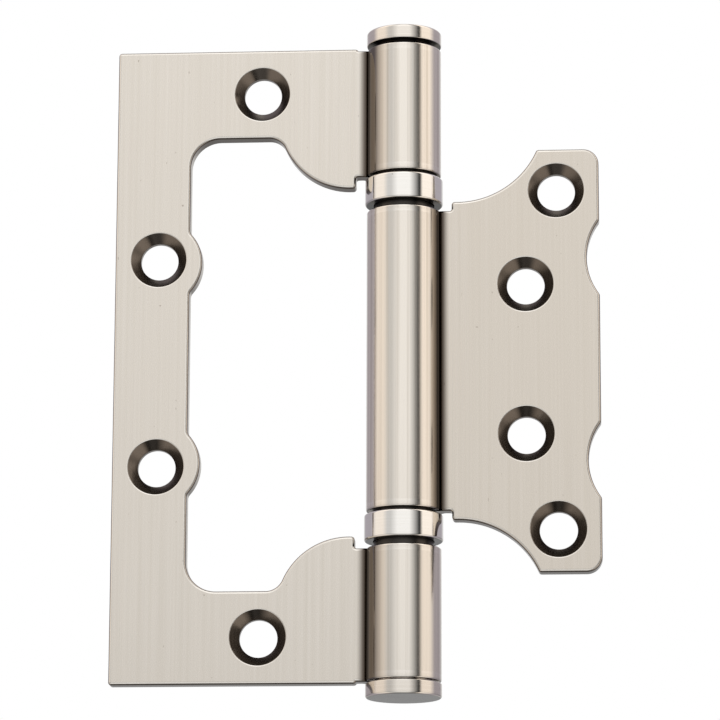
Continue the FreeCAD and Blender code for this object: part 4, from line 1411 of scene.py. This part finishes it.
@dataclass
class Studio:
    """Camera, light tent, lamps, white background and pale floor.

    Azimuths are in degrees from the camera's side of the hinge, -Y, towards +X.
    """

    focal_px: float = 3874.3
    distance: float = 0.5964
    elevation: float = -12.907
    azimuth: float = 4.054
    roll: float = 0.204
    aim: tuple[float, float] = (-6.766 * MM, 0.316 * MM)
    tent_radius: float = 0.85
    floor_drop: float = 0.95
    floor_size: float = 60.0
    fill_colour: Colour = (0.96, 0.98, 1.0)
    fill_strength: float = 0.75
    lamp_distance: float = 0.75
    pin: Vector = field(default_factory=lambda: Vector((0.0, 0.0, 0.0)))

    def camera(self) -> None:
        """Place the camera where the photographer's was."""
        data = bpy.data.cameras.new("camera")
        data.sensor_width = SENSOR_WIDTH
        data.lens = self.focal_px / PHOTO_WIDTH * SENSOR_WIDTH
        data.clip_start, data.clip_end = 0.01, 100.0
        made = bpy.data.objects.new("camera", data)
        bpy.context.scene.collection.objects.link(made)
        around, up = math.radians(self.azimuth), math.radians(self.elevation)
        back = Vector((math.sin(around) * math.cos(up), -math.cos(around) * math.cos(up), math.sin(up)))
        target = self.pin + Vector((self.aim[0], 0.0, self.aim[1]))
        turn = (-back).to_track_quat("-Z", "Y").to_matrix().to_4x4()
        lean = Matrix.Rotation(math.radians(self.roll), 4, "Z")
        made.matrix_world = Matrix.Translation(target + back * self.distance) @ turn @ lean
        bpy.context.scene.camera = made

    def world(self) -> None:
        """White where the camera, gloss and glass look past the object, and a soft fill elsewhere."""
        made = bpy.data.worlds.new("studio_world")
        bpy.context.scene.world = made
        made.use_nodes = True
        graph = NodeGraph(made.node_tree)
        path = graph.add("ShaderNodeLightPath")
        seen = graph.add("ShaderNodeMath", operation="MAXIMUM")
        any_view = graph.add("ShaderNodeMath", operation="MAXIMUM")
        fill = graph.add(
            "ShaderNodeBackground", Color=rgba(self.fill_colour), Strength=self.fill_strength
        )
        white = graph.add("ShaderNodeBackground", Color=rgba((1.0, 1.0, 1.0)), Strength=1.0)
        mix = graph.add("ShaderNodeMixShader")
        output = graph.add("ShaderNodeOutputWorld")
        graph.link(path.outputs["Is Camera Ray"], seen.inputs[0])
        graph.link(path.outputs["Is Glossy Ray"], seen.inputs[1])
        graph.link(seen.outputs[0], any_view.inputs[0])
        graph.link(path.outputs["Is Transmission Ray"], any_view.inputs[1])
        graph.link(any_view.outputs[0], mix.inputs[0])
        graph.link(fill.outputs[0], mix.inputs[1])
        graph.link(white.outputs[0], mix.inputs[2])
        graph.link(mix.outputs[0], output.inputs["Surface"])

    def tent(self) -> None:
        """A white cloth tent round the hinge that only gloss sees.

        Its glow at a point is the cloth's glow by azimuth times the cloth's glow by elevation.
        """
        made = bpy.data.materials.new("tent_cloth")
        made.use_nodes = True
        graph = NodeGraph(made.node_tree)
        place = graph.add("ShaderNodeTexCoord")
        shift = graph.add("ShaderNodeVectorMath", operation="SUBTRACT")
        shift.inputs[1].default_value = self.pin
        unit = graph.add("ShaderNodeVectorMath", operation="NORMALIZE")
        split = graph.add("ShaderNodeSeparateXYZ")
        front = graph.add("ShaderNodeMath", operation="MULTIPLY")
        front.inputs[1].default_value = -1.0
        turn = graph.add("ShaderNodeMath", operation="ARCTAN2")
        rise = graph.add("ShaderNodeMath", operation="ARCSINE")
        graph.link(place.outputs["Object"], shift.inputs[0])
        graph.link(shift.outputs[0], unit.inputs[0])
        graph.link(unit.outputs[0], split.inputs[0])
        graph.link(split.outputs["Y"], front.inputs[0])
        graph.link(split.outputs["X"], turn.inputs[0])
        graph.link(front.outputs[0], turn.inputs[1])
        graph.link(split.outputs["Z"], rise.inputs[0])
        around = graph.spread(turn.outputs[0], 0.0, 1.0, -math.pi, math.pi)
        upward = graph.spread(rise.outputs[0], 0.0, 1.0, -math.pi / 2, math.pi / 2)
        bands = graph.add("ShaderNodeValToRGB")
        heights = graph.add("ShaderNodeValToRGB")
        self.fill_ramp(bands.color_ramp, AROUND)
        self.fill_ramp(heights.color_ramp, UPWARD)
        product = graph.add("ShaderNodeMix", data_type="RGBA", blend_type="MULTIPLY")
        product.inputs[0].default_value = 1.0
        glow = graph.add("ShaderNodeEmission", Strength=1.0)
        output = graph.add("ShaderNodeOutputMaterial")
        graph.link(around, bands.inputs[0])
        graph.link(upward, heights.inputs[0])
        graph.link(bands.outputs[0], product.inputs[6])
        graph.link(heights.outputs[0], product.inputs[7])
        graph.link(product.outputs[2], glow.inputs["Color"])
        graph.link(glow.outputs[0], output.inputs["Surface"])
        bpy.ops.mesh.primitive_uv_sphere_add(segments=96, ring_count=48, radius=self.tent_radius)
        dome = bpy.context.object
        dome.name = "light_tent"
        dome.data.transform(Matrix.Translation(self.pin))
        dome.data.materials.append(made)
        dome.visible_camera = False
        dome.visible_diffuse = False
        dome.visible_shadow = False
        dome.visible_transmission = False

    @staticmethod
    def fill_ramp(ramp: bpy.types.ColorRamp, cloths: tuple[Cloth, ...]) -> None:
        """Set a ramp's stops, two to a cloth, over the whole range of the cloths' angles."""
        low, high = cloths[0].start, cloths[-1].end
        stops = [(angle, cloth) for cloth in cloths for angle in (cloth.start, cloth.end)]
        while len(ramp.elements) < len(stops):
            ramp.elements.new(0.5)
        for element, (angle, cloth) in zip(ramp.elements, stops):
            element.position = (angle - low) / (high - low)
            element.color = rgba(tuple(cloth.glow * part for part in cloth.tint))

    def floor(self) -> None:
        """A pale floor well below the hinge, which the camera looks over from underneath."""
        bpy.ops.mesh.primitive_plane_add(size=self.floor_size)
        plane = bpy.context.object
        plane.name = "floor"
        plane.data.transform(Matrix.Translation((self.pin.x, 0.0, -self.floor_drop)))
        made = bpy.data.materials.new("pale_floor")
        made.use_nodes = True
        graph = NodeGraph(made.node_tree)
        shader = graph.add("ShaderNodeBsdfPrincipled", Roughness=0.8)
        output = graph.add("ShaderNodeOutputMaterial")
        clouds = graph.object_noise((3.0, 3.0, 3.0), 3.0)
        tone = graph.blend(clouds, (0.90, 0.90, 0.90), (0.86, 0.86, 0.86))
        graph.link(tone, shader.inputs["Base Color"])
        graph.link(shader.outputs[0], output.inputs["Surface"])
        plane.data.materials.append(made)

    def lamp(self, name: str, azimuth: float, elevation: float, width: float, power: float) -> None:
        """A square soft lamp that looks at the hinge; gloss sees the tent in its place.

        Args:
            name: The lamp's name.
            azimuth: Degrees round the hinge from the camera's side.
            elevation: Degrees above the hinge's middle.
            width: Side of the lamp in metres.
            power: Watts.
        """
        data = bpy.data.lights.new(name, "AREA")
        data.shape, data.size, data.energy = "SQUARE", width, power
        made = bpy.data.objects.new(name, data)
        bpy.context.scene.collection.objects.link(made)
        around, up = math.radians(azimuth), math.radians(elevation)
        away = Vector((math.sin(around) * math.cos(up), -math.cos(around) * math.cos(up), math.sin(up)))
        made.location = self.pin + away * self.lamp_distance
        made.rotation_euler = away.to_track_quat("Z", "Y").to_euler()
        made.visible_glossy = False

    def build(self) -> None:
        """Set up everything round the hinge."""
        self.camera()
        self.world()
        self.tent()
        self.floor()
        self.lamp("key_lamp", -35.0, 45.0, 0.35, 1.2)
        self.lamp("fill_lamp", 55.0, 30.0, 0.35, 0.6)
        bpy.context.scene.view_settings.view_transform = "Standard"
        LOG.info("studio ready")


def pin_axis() -> Vector:
    """The pin's axis at the hinge's middle height, from the bottom cap's box."""
    low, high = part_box("bottom_cap")
    return Vector(((low.x + high.x) / 2, (low.y + high.y) / 2, 0.0))


def write_sizes() -> None:
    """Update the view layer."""
    bpy.context.view_layer.update()


def main() -> None:
    """Build and dress each sub-assembly, then set up the studio."""
    logging.basicConfig(level=logging.INFO, format="%(name)s: %(message)s")
    pin = pin_axis()
    FrameLeaf(Side.FRAME, "frame_leaf", "frame", FRAME_NICKEL).build(pin)
    DoorLeaf(Side.DOOR, "door_leaf", "door", DOOR_NICKEL).build(pin)
    HingePin().build(pin)
    BottomCap().build(pin)
    ThrustBearing("upper", 23.6, "frame").build(pin)
    ThrustBearing("lower", -29.25, "door").build(pin)
    Studio(pin=pin).build()
    write_sizes()


if __name__ == "__main__":
    main()
